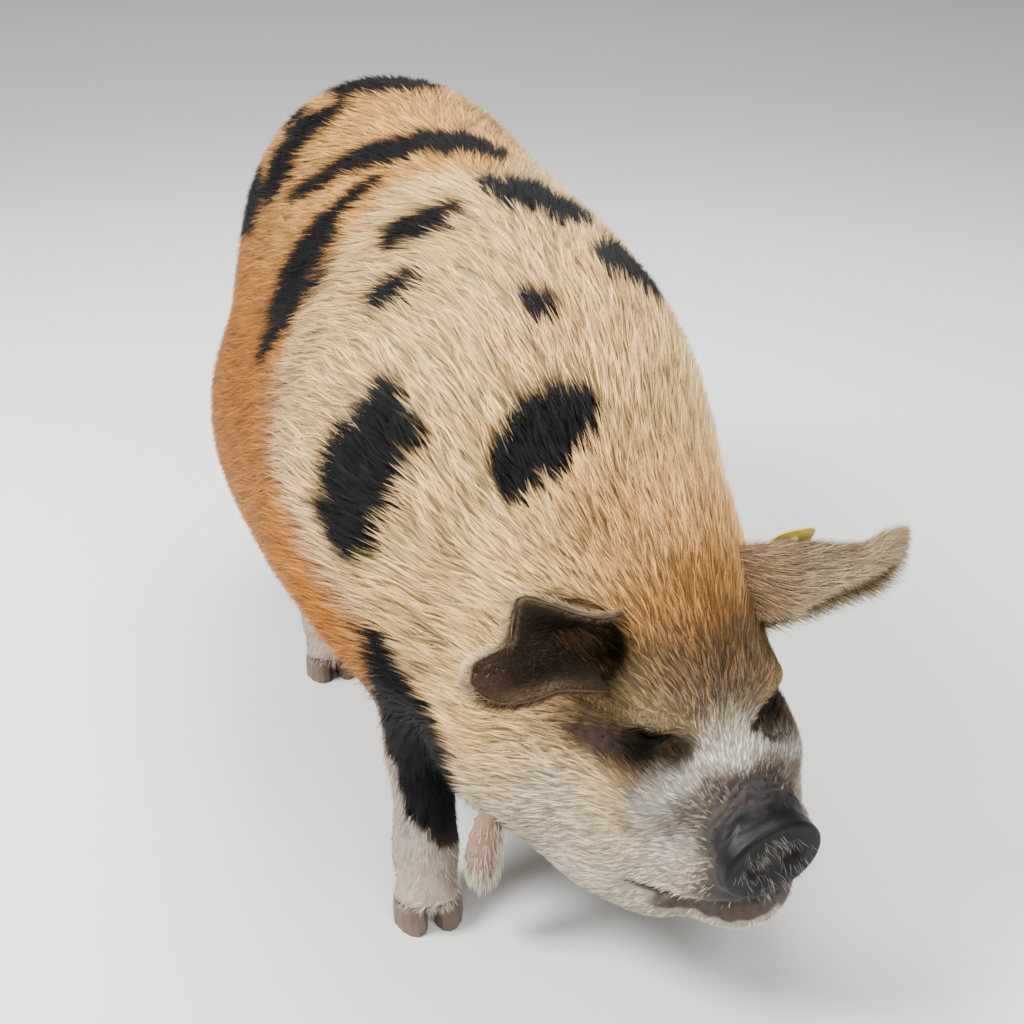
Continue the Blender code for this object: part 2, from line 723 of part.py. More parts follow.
def make_hoof(name, place, side):
    """One hoof: a wall that slopes back from the toe, flat on its sole."""
    rings = ((0.0, 1.04), (0.45, 1.0), (1.0, 0.90))
    around = 12
    points, faces = [], []
    for level, scale in rings:
        for k in range(around):
            a = 2 * math.pi * k / around
            x = HOOF_WIDE / 2 * math.copysign(abs(math.cos(a)) ** 0.75, math.cos(a))
            y = HOOF_LONG / 2 * math.copysign(abs(math.sin(a)) ** 0.85, math.sin(a))
            narrow = 1.0 - 0.38 * max(0.0, -y / (HOOF_LONG / 2)) ** 1.6
            x = (x - side * HOOF_WIDE / 2) * narrow + side * HOOF_WIDE / 2 * 0.55 if x * side < 0 \
                else x * (0.4 + 0.6 * narrow)
            x = x * (0.5 + 0.5 * scale)
            y = y * scale + 0.004 * (1 - scale) * 5
            height = level * hoof_top(y)
            points.append(vec(place[0] + x, place[1] + y, FLOOR + height))
    for i in range(len(rings) - 1):
        for k in range(around):
            a, b = i * around + k, i * around + (k + 1) % around
            faces.append((a, b, b + around, a + around))
    faces.append(tuple(range(around - 1, -1, -1)))
    top = (len(rings) - 1) * around
    faces.append(tuple(range(top, top + around)))
    obj = put(name, points, faces, horn())
    rework(obj, lambda bm: bmesh.ops.recalc_face_normals(bm, faces=bm.faces[:]))
    triangles(obj)
    return obj


def make_feet(leg, name):
    """Cuts the leg at the hairline and sets two hooves and two dewclaws on it."""
    place = foot_place(name)
    incline = HOOF_HEEL_DROP / HOOF_LONG
    point = vec(place[0], place[1], hoof_top(0.0) + GAP)
    cut_plane(leg, point, unit(vec(0, -incline, -1)))
    tidy(leg)
    for side in (-1, 1):
        word = "inner" if side * place[0] < 0 else "outer"
        spot = place + vec(side * (HOOF_WIDE / 2 + HOOF_CLEFT), 0, 0)
        make_hoof(f"{name}_{word}_hoof", spot, -side)
    pastern = (vec(*LEGS[name][-2]) + vec(*LEGS[name][-1])) / 2
    for side in (-1, 1):
        word = "inner" if side * place[0] < 0 else "outer"
        guess = pastern + vec(side * 0.017, 0.030, 0.004)
        spot, out = onto(whole_form, guess)
        way = unit(vec(side * 0.10, 0.35, -1.0))
        sizes = [(DEWCLAW_WIDE * 0.9, DEWCLAW_WIDE * 0.9), (DEWCLAW_WIDE, DEWCLAW_WIDE),
                 (DEWCLAW_WIDE * 0.75, DEWCLAW_WIDE * 0.7), (0, 0)]
        start = spot - out * 0.003 - way * 0.004
        path = [start + way * DEWCLAW_LONG * t + out * 0.006 * t for t in (0, 0.35, 0.75, 1.0)]
        claw = sweep(f"{name}_{word}_dewclaw", path, sizes, 5, out, horn())
        boolean(claw, grown(leg, GAP), "DIFFERENCE")
        largest(claw)
        tidy(claw)


# Ears, eyes, wattles, tail and tag

EAR_THICK = 0.0048
EAR_GAP = 0.0007             # clear space between an ear and the head with its locks


def ear(name, head, first, middle, last):
    """A leaf of skin, arched across through three lines that run from its root to its tip."""
    n, m = 11, 8
    first, middle, last = ([head_point(*p) for p in line] for line in (first, middle, last))
    lines = [smooth_path(line, n) for line in (first, middle, last)]
    net = np.zeros((n, m + 1, 3))
    for i in range(n):
        a, b, c = (line[i] for line in lines)
        for j in range(m + 1):
            t = 2 * j / m - 1
            net[i, j] = b + t * (c - a) / 2 + t * t * ((a + c) / 2 - b)
    down = np.gradient(net, axis=0)
    over = np.gradient(net, axis=1)
    normal = np.cross(down, over)
    normal /= np.linalg.norm(normal, axis=2)[..., None]
    edge = np.abs(np.linspace(-1, 1, m + 1))[None, :, None]
    along = np.linspace(0, 1, n)[:, None, None]
    depth = EAR_THICK * (1 - 0.55 * edge ** 3) * (1 - 0.35 * along)
    inner = (net + normal * depth / 2).reshape(-1, 3)
    outer = (net - normal * depth / 2).reshape(-1, 3)
    w = m + 1
    size = n * w
    tris = []
    for i in range(n - 1):
        for j in range(m):
            a, b, c, d = i * w + j, i * w + j + 1, (i + 1) * w + j + 1, (i + 1) * w + j
            tris += [(a, b, c), (a, c, d)]
            tris += [(a + size, c + size, b + size), (a + size, d + size, c + size)]
    rim = [i * w for i in range(n)] + [(n - 1) * w + j for j in range(1, w)]
    rim += [i * w + m for i in range(n - 2, -1, -1)] + [j for j in range(m - 1, 0, -1)]
    for k, a in enumerate(rim):
        b = rim[(k + 1) % len(rim)]
        tris += [(a, b, b + size), (a, b + size, a + size)]
    obj = put(name, list(inner) + list(outer), tris, coat())
    rework(obj, lambda bm: bmesh.ops.recalc_face_normals(bm, faces=bm.faces[:]))
    boolean(obj, grown(head, EAR_GAP), "DIFFERENCE")
    largest(obj)
    tidy(obj)
    return obj


# Each ear: lines on the head's axes from root to tip
EAR_RIGHT = dict(
    first=((-0.060, 0.034, 0.110), (-0.092, 0.038, 0.110), (-0.130, 0.055, 0.125), (-0.151, 0.060, 0.130),
           (-0.166, 0.049, 0.103), (-0.188, 0.038, 0.103), (-0.208, 0.030, 0.106)),
    middle=((-0.056, 0.086, 0.052), (-0.084, 0.088, 0.055), (-0.120, 0.080, 0.066), (-0.148, 0.064, 0.077),
            (-0.175, 0.040, 0.087), (-0.197, 0.026, 0.094), (-0.211, 0.026, 0.102)),
    last=((-0.078, 0.030, 0.034), (-0.110, 0.020, 0.054), (-0.139, 0.012, 0.070), (-0.163, 0.008, 0.073),
          (-0.187, 0.008, 0.077), (-0.204, 0.010, 0.087), (-0.213, 0.021, 0.098)),
)
EAR_LEFT = dict(
    first=((0.052, 0.046, 0.062), (0.079, 0.013, 0.073), (0.095, 0.010, 0.082), (0.123, 0.010, 0.089),
           (0.153, 0.013, 0.090), (0.187, 0.021, 0.092), (0.212, 0.030, 0.097)),
    middle=((0.050, 0.072, 0.112), (0.085, 0.055, 0.117), (0.117, 0.054, 0.110), (0.150, 0.052, 0.099),
            (0.178, 0.046, 0.093), (0.199, 0.038, 0.104), (0.212, 0.033, 0.107)),
    last=((0.090, 0.066, 0.020), (0.118, 0.050, 0.034), (0.137, 0.044, 0.042), (0.165, 0.041, 0.047),
          (0.191, 0.038, 0.052), (0.208, 0.036, 0.068), (0.216, 0.034, 0.090)),
)


def make_tag(ear_piece):
    """A plain plastic tag: a thin plate that lies on the back of the left ear."""
    tree = BVHTree.FromObject(ear_piece, bpy.context.evaluated_depsgraph_get())
    guess = Vector(head_point(0.116, 0.066, 0.130))
    place, normal, _, _ = tree.find_nearest(guess)
    place, out = np.array(place), unit(np.array(normal))
    along = unit(head_way(1.0, -0.05, -0.02))
    along = unit(along - out * (along @ out))
    over = np.cross(out, along)
    half_long, half_wide, half_thick, stud = 0.0215, 0.0130, 0.0009, 0.0045
    rim = []
    n = 16
    for k in range(n):
        a = 2 * math.pi * k / n
        x = half_long * math.copysign(abs(math.cos(a)) ** 0.6, math.cos(a))
        y = half_wide * math.copysign(abs(math.sin(a)) ** 0.6, math.sin(a))
        rim.append((x, y))
    lift = 0.0038
    points = []
    for height in (lift - half_thick, lift + half_thick):
        points += [place + along * x + over * y + out * height for x, y in rim]
    faces = [tuple(range(n - 1, -1, -1)), tuple(range(n, 2 * n))]
    faces += [(k, (k + 1) % n, (k + 1) % n + n, k + n) for k in range(n)]
    tag = put("ear_tag", points, faces, paint("yellow plastic", (0.80, 0.68, 0.20), 0.45))
    rework(tag, lambda bm: bmesh.ops.recalc_face_normals(bm, faces=bm.faces[:]))
    triangles(tag)
    path = [place - out * 0.001, place + out * (lift + 0.0022)]
    pin = sweep("pin", path, [(stud, stud), (stud, stud)], 8, along, None, tip=False)
    fuse(tag, [pin])
    boolean(tag, grown(ear_piece, GAP), "DIFFERENCE")
    largest(tag)
    tidy(tag)


def make_eye(head, side, word):
    centre = head_point(side * EYE_OUT, EYE_BACK, 0.0)
    look = unit(vec(side * 0.62, -0.78, 0.02))
    across = unit(np.cross(look, vec(0, 0, 1)))
    turn = HEAD_TURN @ np.stack([across, -look, np.cross(across, look)], 1)
    socket = [EYE_RADIUS + GAP] * 3
    boolean(head, ball("socket", centre, socket, turn), "DIFFERENCE")
    opening = centre + HEAD_TURN @ look * EYE_RADIUS * 1.25
    boolean(head, ball("opening", opening, (0.0115, 0.014, 0.0066), turn), "DIFFERENCE")
    ball(f"{word}_eye", centre, [EYE_RADIUS] * 3, turn,
         material=paint("eye", (0.10, 0.05, 0.03), 0.12))


def make_mouth(head):
    """The line of the mouth: a narrow groove from one corner round the front to the other."""
    half = [vec(*p) for p in MOUTH]
    corners = [p * vec(-1, 1, 1) for p in half[:-1]] + [half[-1]] + list(reversed(half[:-1]))
    path = smooth_path([head_point(*p) for p in corners], 15)
    path = [onto(whole_form, p)[0] for p in path]
    sizes = [(0.0075, 0.0020)] * 15
    sizes[0] = sizes[-1] = (0.003, 0.0015)
    up = head_way(0, 0, 1)
    boolean(head, sweep("groove", path, sizes, 6, up, None, tip=False), "DIFFERENCE")


def make_snout(head):
    """The hollow face of the snout disc and its nostrils."""
    x, y, z = DISC_AT
    boolean(head, ball("dish", head_point(*DISH_AT), DISH, HEAD_TURN, around=24, up=12), "DIFFERENCE")
    for side in (-1, 1):
        tilt = HEAD_TURN @ turn_matrix(8, 0, side * 18)
        place = head_point(side * NOSTRIL_OUT, y - 0.012, z - 0.002)
        boolean(head, ball("nostril", place, NOSTRIL, tilt, around=10, up=6), "DIFFERENCE")


def make_head():
    head = shape_from("head", whole_form, (-0.16, -0.64, 0.02), (0.32, -0.24, 0.50), HEAD_CELL, HEAD_SHARE)
    point, out = HEAD_PLANE
    cut_plane(head, point - out * GAP, out)
    for name in ("front_right", "front_left"):
        boolean(head, leg_block(name, GAP), "DIFFERENCE")
    largest(head)
    fuse(head, crest_locks(whole_form, head_point(0.0, 0.0, 0.062), head_way(0, 0.6, 0.8), 4, 4))
    tidy(head)
    return head


def finish_head(head):
    """Cuts in the small forms, once the ears are fitted."""
    make_snout(head)
    make_mouth(head)
    make_eye(head, -1, "right")
    make_eye(head, 1, "left")
    largest(head)
    tidy(head)


def make_wattle(head, side, word):
    """A tassel of skin under the jowl, with longer hair hanging round it."""
    root = onto(whole_form, head_point(side * WATTLE_AT[0], *WATTLE_AT[1:]))[0]
    end = root + vec(side * 0.012, -0.004, -0.062)
    path = smooth_path([root + vec(0, 0, 0.012), (root + end) / 2 + vec(side * 0.004, 0, 0), end], 7)
    sizes = [(r, r) for r in (0.0110, 0.0100, 0.0105, 0.0120, 0.0130, 0.0100, 0)]
    pink = paint("pink skin", (0.62, 0.38, 0.33), 0.6)
    wattle = sweep(f"{word}_wattle", path, sizes, 7, vec(1, 0, 0), pink)
    hairs = []
    for k in range(4):
        a = 2 * math.pi * (k + 0.3) / 4
        out = vec(math.cos(a), math.sin(a), 0)
        long = 0.048 + 0.006 * (k % 2)
        start = path[1 + k % 2] + out * 0.006
        hair = [start, start + out * 0.009 + vec(0, 0, -long * 0.35),
                start + out * 0.011 + vec(0, 0, -long * 0.7),
                start + out * 0.007 + vec(0, 0, -long)]
        flat = [(0.004, 0.0018), (0.0062, 0.0018), (0.0048, 0.0014), (0, 0)]
        hairs.append(sweep("hair", hair, flat, 4, out, None))
    fuse(wattle, hairs)
    boolean(wattle, grown(head, GAP), "DIFFERENCE")
    largest(wattle)
    tidy(wattle)


def make_tail(torso):
    """A tail that hangs in a loose bend and ends in a tassel of locks."""
    root = onto(whole_form, vec(0.006, 0.62, 0.50))[0]
    corners = [root + vec(0, -0.014, 0.006), root + vec(0.0, 0.024, -0.012),
               root + vec(-0.012, 0.034, -0.070),
               root + vec(-0.006, 0.026, -0.130), root + vec(0.012, 0.020, -0.185)]
    path = smooth_path(corners, 9)
    sizes = [(0.017, 0.017), (0.015, 0.015), (0.0125, 0.0125), (0.011, 0.011), (0.010, 0.010),
             (0.009, 0.009), (0.008, 0.008), (0.007, 0.007), (0, 0)]
    tail = sweep("tail", path, sizes, 8, vec(1, 0, 0), coat())
    locks = []
    for k in range(7):
        a = 2.4 * k
        i = 4 + k % 4
        out = unit(vec(math.cos(a), 0.6 * math.sin(a) + 0.35, 0))
        start = path[i] + out * 0.002
        drop_by = 0.050 + 0.010 * (k % 3)
        route = [start, start + out * 0.013 + vec(0, 0, -drop_by * 0.4),
                 start + out * 0.017 + vec(0, 0, -drop_by * 0.75), start + out * 0.012 + vec(0, 0, -drop_by)]
        locks.append(sweep("lock", route, [(0.0065, 0.0028), (0.0070, 0.0026), (0.0045, 0.0018), (0, 0)],
                           4, out, None))
    fuse(tail, locks)
    boolean(tail, grown(torso, GAP), "DIFFERENCE")
    largest(tail)
    tidy(tail)


def stand_on_origin():
    """Moves the pig so that the middle of its footprint box is at the origin."""
    low, high = np.full(3, np.inf), np.full(3, -np.inf)
    objs = [o for o in bpy.data.objects if o.type == "MESH"]
    for obj in objs:
        places = np.array([v.co for v in obj.data.vertices])
        low, high = np.minimum(low, places.min(0)), np.maximum(high, places.max(0))
    shift = Vector((-(low[0] + high[0]) / 2, -(low[1] + high[1]) / 2, -low[2]))
    for obj in objs:
        for vert in obj.data.vertices:
            vert.co += shift


def build():
    for obj in list(bpy.data.objects):
        bpy.data.objects.remove(obj)
    torso = make_torso()
    make_neck()
    for name in LEGS:
        leg = make_leg(name)
        make_feet(leg, name)
    make_tail(torso)
    head = make_head()
    ear("right_ear", head, **EAR_RIGHT)
    left = ear("left_ear", head, **EAR_LEFT)
    make_tag(left)
    make_wattle(head, -1, "right")
    make_wattle(head, 1, "left")
    finish_head(head)
    stand_on_origin()


build()
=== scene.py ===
"""The looks of a still, life-size domestic pig: one skin under a short bristly coat of solid tufts.

Metres, +Z up. The pig faces -Y and its left side is +X. The skin comes from the same named masses as
the solids, a coat's depth inside them, and the coat, its markings and the bare skin of the face lie on it.
"""
import math

import bmesh
import bpy
import numpy as np
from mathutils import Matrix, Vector
from mathutils.bvhtree import BVHTree


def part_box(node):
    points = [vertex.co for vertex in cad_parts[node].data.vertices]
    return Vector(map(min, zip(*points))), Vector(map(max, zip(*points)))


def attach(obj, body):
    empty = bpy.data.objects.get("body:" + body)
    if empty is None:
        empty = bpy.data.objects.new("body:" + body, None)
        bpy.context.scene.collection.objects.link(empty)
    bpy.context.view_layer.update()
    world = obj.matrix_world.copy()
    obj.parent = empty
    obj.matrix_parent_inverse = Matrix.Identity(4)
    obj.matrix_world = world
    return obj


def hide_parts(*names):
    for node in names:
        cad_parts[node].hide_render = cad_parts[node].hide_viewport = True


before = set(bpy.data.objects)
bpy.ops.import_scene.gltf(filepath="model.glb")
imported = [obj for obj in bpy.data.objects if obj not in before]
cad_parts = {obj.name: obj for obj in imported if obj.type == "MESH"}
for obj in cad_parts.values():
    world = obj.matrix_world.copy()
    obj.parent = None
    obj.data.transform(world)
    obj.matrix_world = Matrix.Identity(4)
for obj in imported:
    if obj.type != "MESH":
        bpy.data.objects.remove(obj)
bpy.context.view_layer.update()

# Masses of the trunk and neck: middle and half sizes
BARREL_AT, BARREL = (-0.006, 0.040, 0.360), (0.253, 0.360, 0.220)
RUMP_AT, RUMP = (0.006, 0.350, 0.435), (0.190, 0.240, 0.235)
CHEST_AT, CHEST = (-0.010, -0.190, 0.380), (0.205, 0.220, 0.220)
BACK_AT, BACK = (0.012, 0.120, 0.500), (0.148, 0.420, 0.150)
HAM_OUT, HAM_AT, HAM = 0.110, (0.380, 0.300), (0.085, 0.150, 0.150)
NECK_FROM, NECK_TO = (-0.020, -0.240, 0.400), (0.055, -0.370, 0.345)
NECK_THICK = (0.164, 0.112)
DEWLAP_AT, DEWLAP = (-0.040, -0.345, 0.215), (0.078, 0.100, 0.110)
TRUNK_BLEND = 0.10

# Head: its origin is midway between the eyes
HEAD_AT = (0.102, -0.486, 0.262)
HEAD_PITCH, HEAD_YAW, HEAD_ROLL = 6.0, 10.0, -3.0
EYE_OUT, EYE_BACK, EYE_RADIUS = 0.048, 0.017, 0.0125
BRAIN_CASE = ((0, 0.086, -0.002), (0.098, 0.098, 0.106))
JOWL_OUT = {-1: 0.078, 1: 0.064}            # the jowl is pressed in on the side that the head turns to
JOWL_AT, JOWL = (0.066, -0.106), (0.062, 0.084, 0.083)
CHEEK_IN, CHEEK_AT, CHEEK = 0.023, (0.006, -0.129), (0.050, 0.072, 0.052)
CHEEK_BONE_OUT = {-1: 0.068, 1: 0.056}
CHEEK_BONE_AT, CHEEK_BONE = (0.000, -0.042), (0.028, 0.040, 0.026)
MUZZLE = ((0, 0.014, -0.045), (0, -0.060, -0.070), 0.066, 0.047)
JAW = ((0, 0.000, -0.119), (0, -0.054, -0.130), 0.058, 0.042)
UPPER_LIP_AT, UPPER_LIP = (0.038, -0.055, -0.096), (0.030, 0.036, 0.028)
BROW_AT, BROW = (0.037, 0.006, 0.027), (0.033, 0.020, 0.017)
SOCKET_AT, SOCKET = (0.057, -0.015, -0.008), (0.027, 0.022, 0.016)
LIDS_AT, LIDS = (0.049, 0.015, -0.001), (0.0185, 0.0170, 0.0160)
LOWER_LIP = ((0, -0.062, -0.138), (0.043, 0.038, 0.026))
COLLAR = ((0, -0.074, -0.068), (0.046, 0.028, 0.037))               # the snout's, behind its disc
DISC_AT, DISC_WIDE, DISC_TALL = (0.0, -0.096, -0.073), 0.050, 0.039
DISC_HALF_THICK, DISC_EDGE = 0.011, 0.0055
DISH = ((0, -0.1345, -0.075), (0.042, 0.0345, 0.031))               # the hollow face of the snout disc
NOSTRIL_OUT, NOSTRIL = 0.019, (0.0075, 0.016, 0.0105)
WATTLE_AT = (0.157, 0.100, -0.135)
EAR_CUP = ((0.072, 0.060, 0.066), (0.100, 0.056, 0.078), (0.128, 0.052, 0.085), (0.150, 0.046, 0.088))
EAR_CUP_WIDE = (0.018, 0.028, 0.032, 0.028)
EAR_HOLLOW_AT, EAR_HOLLOW = (0.100, 0.042, 0.074), (0.032, 0.034, 0.034)
MOUTH = ((0.074, -0.020, -0.122), (0.066, -0.052, -0.121), (0.044, -0.082, -0.118), (0.0, -0.102, -0.118))
CHEEK_FOLD = ((0.086, 0.040, -0.022), (0.090, 0.020, -0.048), (0.080, -0.004, -0.066),
              (0.066, -0.024, -0.068))

# Legs: joints from the shoulder or hip down to the foot, and their radii
LEGS = {
    "front_right": ((-0.118, -0.205, 0.330), (-0.108, -0.235, 0.235), (-0.108, -0.298, 0.150),
                    (-0.116, -0.335, 0.060), (-0.121, -0.358, 0.026)),
    "front_left": ((0.118, -0.190, 0.330), (0.104, -0.190, 0.235), (0.100, -0.214, 0.150),
                   (0.100, -0.214, 0.060), (0.101, -0.236, 0.026)),
    "hind_right": ((-0.112, 0.330, 0.330), (-0.125, 0.235, 0.235), (-0.128, 0.215, 0.150),
                   (-0.134, 0.140, 0.060), (-0.135, 0.112, 0.026)),
    "hind_left": ((0.112, 0.360, 0.330), (0.120, 0.330, 0.240), (0.120, 0.400, 0.160),
                  (0.120, 0.365, 0.060), (0.120, 0.342, 0.026)),
}
FRONT_THICK = (0.078, 0.054, 0.036, 0.029, 0.030)
HIND_THICK = (0.092, 0.056, 0.034, 0.029, 0.030)
FOOT_WIDE, FOOT_LONG, FOOT_TALL = 0.029, 0.028, 0.026
LEG_BLEND = 0.045
HOOF_LONG, HOOF_TALL, HOOF_HEEL_DROP = 0.050, 0.030, 0.012

# Ears: three lines each, on the head's axes, from root to tip
EARS = {
    "right": (
        ((-0.060, 0.034, 0.110), (-0.092, 0.038, 0.110), (-0.130, 0.055, 0.125), (-0.151, 0.060, 0.130),
         (-0.166, 0.049, 0.103), (-0.188, 0.038, 0.103), (-0.208, 0.030, 0.106)),
        ((-0.056, 0.086, 0.052), (-0.084, 0.088, 0.055), (-0.120, 0.080, 0.066), (-0.148, 0.064, 0.077),
         (-0.175, 0.040, 0.087), (-0.197, 0.026, 0.094), (-0.211, 0.026, 0.102)),
        ((-0.078, 0.030, 0.034), (-0.110, 0.020, 0.054), (-0.139, 0.012, 0.070), (-0.163, 0.008, 0.073),
         (-0.187, 0.008, 0.077), (-0.204, 0.010, 0.087), (-0.213, 0.021, 0.098)),
    ),
    "left": (
        ((0.052, 0.046, 0.062), (0.079, 0.013, 0.073), (0.095, 0.010, 0.082), (0.123, 0.010, 0.089),
         (0.153, 0.013, 0.090), (0.187, 0.021, 0.092), (0.212, 0.030, 0.097)),
        ((0.050, 0.072, 0.112), (0.085, 0.055, 0.117), (0.117, 0.054, 0.110), (0.150, 0.052, 0.099),
         (0.178, 0.046, 0.093), (0.199, 0.038, 0.104), (0.212, 0.033, 0.107)),
        ((0.090, 0.066, 0.020), (0.118, 0.050, 0.034), (0.137, 0.044, 0.042), (0.165, 0.041, 0.047),
         (0.191, 0.038, 0.052), (0.208, 0.036, 0.068), (0.216, 0.034, 0.090)),
    ),
}
EAR_HALF = 0.0021            # half the thickness of an ear's skin

# Camera, as fitted to the photo before the pig was moved to its origin
CAMERA_AT = (-0.335, -1.400, 0.920)
CAMERA_DOWN, CAMERA_HEADING = 25.0, 16.0
FOCAL, IMAGE = 1400.0, 1024.0
RAY_START, RAY_END, RAY_CLOSE, RAY_STEPS = 0.5, 2.6, 0.001, 90     # how a pixel's ray looks for the pig

SKIN_TRIANGLES, UNWRAP_TRIANGLES = 184000, 9000

RNG = np.random.default_rng(11)


def vec(*values):
    return np.array(values, float)


def unit(v):
    v = np.asarray(v, float)
    return v / np.maximum(np.linalg.norm(v, axis=-1, keepdims=True), 1e-12)


def turn_matrix(pitch, yaw, roll):
    """Turn about X (pitch), then Y (roll), then Z (yaw), in degrees."""
    a, b, c = (math.radians(v) for v in (pitch, roll, yaw))
    about_x = np.array([[1, 0, 0], [0, math.cos(a), -math.sin(a)], [0, math.sin(a), math.cos(a)]])
    about_y = np.array([[math.cos(b), 0, math.sin(b)], [0, 1, 0], [-math.sin(b), 0, math.cos(b)]])
    about_z = np.array([[math.cos(c), -math.sin(c), 0], [math.sin(c), math.cos(c), 0], [0, 0, 1]])
    return about_z @ about_y @ about_x


HEAD_TURN = turn_matrix(HEAD_PITCH, HEAD_YAW, HEAD_ROLL)


def head_point(x, y, z):
    return vec(*HEAD_AT) + HEAD_TURN @ vec(x, y, z)


def on_head(p):
    """Places on the head's own axes."""
    return (p - vec(*HEAD_AT)) @ HEAD_TURN


def in_pig(q):
    """Places on the head's axes, in the pig's own frame."""
    return vec(*HEAD_AT) + q @ HEAD_TURN.T


def on_side(place, side):
    """A place given for the left side, on the side asked for: 1 is left and -1 is right."""
    return (side * place[0], *place[1:])


def eye_centre(side):
    return head_point(side * EYE_OUT, EYE_BACK, 0.0)


def from_eye(q, side):
    """Places on the head's axes, from the middle of an eye."""
    return q - vec(side * EYE_OUT, EYE_BACK, 0.0)


eye_low, eye_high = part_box("right_eye")
SHIFT = np.array(eye_low + eye_high) / 2 - eye_centre(-1)      # from the pig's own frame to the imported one


# Smooth forms: each returns the rough distance of points p to a shape, less than zero inside it

def ellipsoid(p, centre, radii):
    q = p - np.asarray(centre, float)
    r = np.asarray(radii, float)
    k0 = np.sqrt(((q / r) ** 2).sum(-1))
    k1 = np.sqrt(((q / r ** 2) ** 2).sum(-1))
    return k0 * (k0 - 1.0) / np.maximum(k1, 1e-9)


def taper(p, a, b, ra, rb):
    """A round cone with round ends."""
    a, b = np.asarray(a, float), np.asarray(b, float)
    way = b - a
    t = np.clip(((p - a) @ way) / (way @ way), 0, 1)
    return np.sqrt((((p - a) - t[..., None] * way) ** 2).sum(-1)) - (ra + (rb - ra) * t)


def chain(p, places, radii):
    """A row of tapers through several places."""
    d = np.full(len(p), np.inf)
    for i in range(len(places) - 1):
        d = np.minimum(d, taper(p, places[i], places[i + 1], radii[i], radii[i + 1]))
    return d


def off_line(p, places):
    """How far off a line through several places is."""
    return chain(p, places, [0.0] * len(places))


def disc(p, centre, wide, tall, half, edge):
    """An oval plate across local Y with a rounded edge."""
    q = p - np.asarray(centre, float)
    across = (np.sqrt((q[:, 0] / wide) ** 2 + (q[:, 2] / tall) ** 2) - 1.0) * min(wide, tall) + edge
    along = np.abs(q[:, 1]) - half + edge
    outside = np.sqrt(np.maximum(across, 0) ** 2 + np.maximum(along, 0) ** 2)
    return outside + np.minimum(np.maximum(across, along), 0) - edge


def join(d, other, k):
    h = np.clip(0.5 + 0.5 * (other - d) / k, 0, 1)
    return other * (1 - h) + d * h - k * h * (1 - h)


def carve(d, hole, k):
    h = np.clip(0.5 - 0.5 * (d + hole) / k, 0, 1)
    return d * (1 - h) - hole * h + k * h * (1 - h)


def ease(value, start, end):
    """0 at start, 1 at end, with a soft step between them."""
    t = np.clip((value - start) / (end - start), 0, 1)
    return t * t * (3 - 2 * t)


def near(p, low, high, form, far=0.2):
    """A form that is worked out only inside a box, and is far away outside it."""
    d = np.full(len(p), far)
    held = ((p > low) & (p < high)).all(1)
    if held.any():
        d[held] = form(p[held])
    return d


def ripple(p, size, seed):
    """Smooth noise of about -1 to 1 that changes over the given size."""
    rng = np.random.default_rng(seed)
    total = np.zeros(len(p))
    for _ in range(5):
        way = unit(rng.normal(size=3)) * (2 * math.pi / size) * rng.uniform(0.55, 1.25)
        total += np.sin(p @ way + rng.uniform(0, 6.28))
    return total / 2.4


def ripples(p, size, seed):
    """Such noise on all three axes."""
    return np.stack([ripple(p, size, seed + k) for k in range(3)], 1)


# The pig's own masses

def trunk_form(p):
    d = ellipsoid(p, BARREL_AT, BARREL)
    d = join(ellipsoid(p, RUMP_AT, RUMP), d, TRUNK_BLEND)
    d = join(ellipsoid(p, CHEST_AT, CHEST), d, TRUNK_BLEND)
    d = join(ellipsoid(p, BACK_AT, BACK), d, 0.12)
    for side in (-1, 1):
        d = join(ellipsoid(p, (side * HAM_OUT, *HAM_AT), HAM), d, 0.07)
    return d


def neck_form(p):
    d = taper(p, NECK_FROM, NECK_TO, *NECK_THICK)
    return join(ellipsoid(p, DEWLAP_AT, DEWLAP), d, 0.06)


def head_form(p):
    q = on_head(p)
    d = ellipsoid(q, *BRAIN_CASE)
    for side in (-1, 1):
        out = JOWL_OUT[side]
        d = join(ellipsoid(q, (side * out, *JOWL_AT), JOWL), d, 0.05)
        d = join(ellipsoid(q, (side * (out - CHEEK_IN), *CHEEK_AT), CHEEK), d, 0.04)
        d = join(ellipsoid(q, (side * CHEEK_BONE_OUT[side], *CHEEK_BONE_AT), CHEEK_BONE), d, 0.03)
    d = join(taper(q, *MUZZLE), d, 0.045)
    d = join(taper(q, *JAW), d, 0.03)
    for side in (-1, 1):
        d = join(ellipsoid(q, on_side(UPPER_LIP_AT, side), UPPER_LIP), d, 0.02)
        d = join(ellipsoid(q, on_side(BROW_AT, side), BROW), d, 0.025)
        d = carve(d, ellipsoid(q, on_side(SOCKET_AT, side), SOCKET), 0.014)
        d = join(ellipsoid(q, on_side(LIDS_AT, side), LIDS), d, 0.007)
    d = join(ellipsoid(q, *LOWER_LIP), d, 0.022)
    d = join(ellipsoid(q, *COLLAR), d, 0.012)
    d = join(disc(q, DISC_AT, DISC_WIDE, DISC_TALL, DISC_HALF_THICK, DISC_EDGE), d, 0.006)
    return carve(d, ellipsoid(q, *DISH), 0.004)


def seen_pixels(p):
    """Where places on the pig lie in the photo, and how far off along the view."""
    ahead, right, up = camera_axes()
    q = p - vec(*CAMERA_AT)
    away = q @ ahead
    half = IMAGE / 2
    return np.stack([half + FOCAL * (q @ right) / away, half - FOCAL * (q @ up) / away], 1), away


def ear_hollows(p, d):
    q = on_head(p)
    for side in (-1, 1):
        d = carve(d, ellipsoid(q, on_side(EAR_HOLLOW_AT, side), EAR_HOLLOW), 0.012)
    return carve(d, right_cup(q), 0.008)


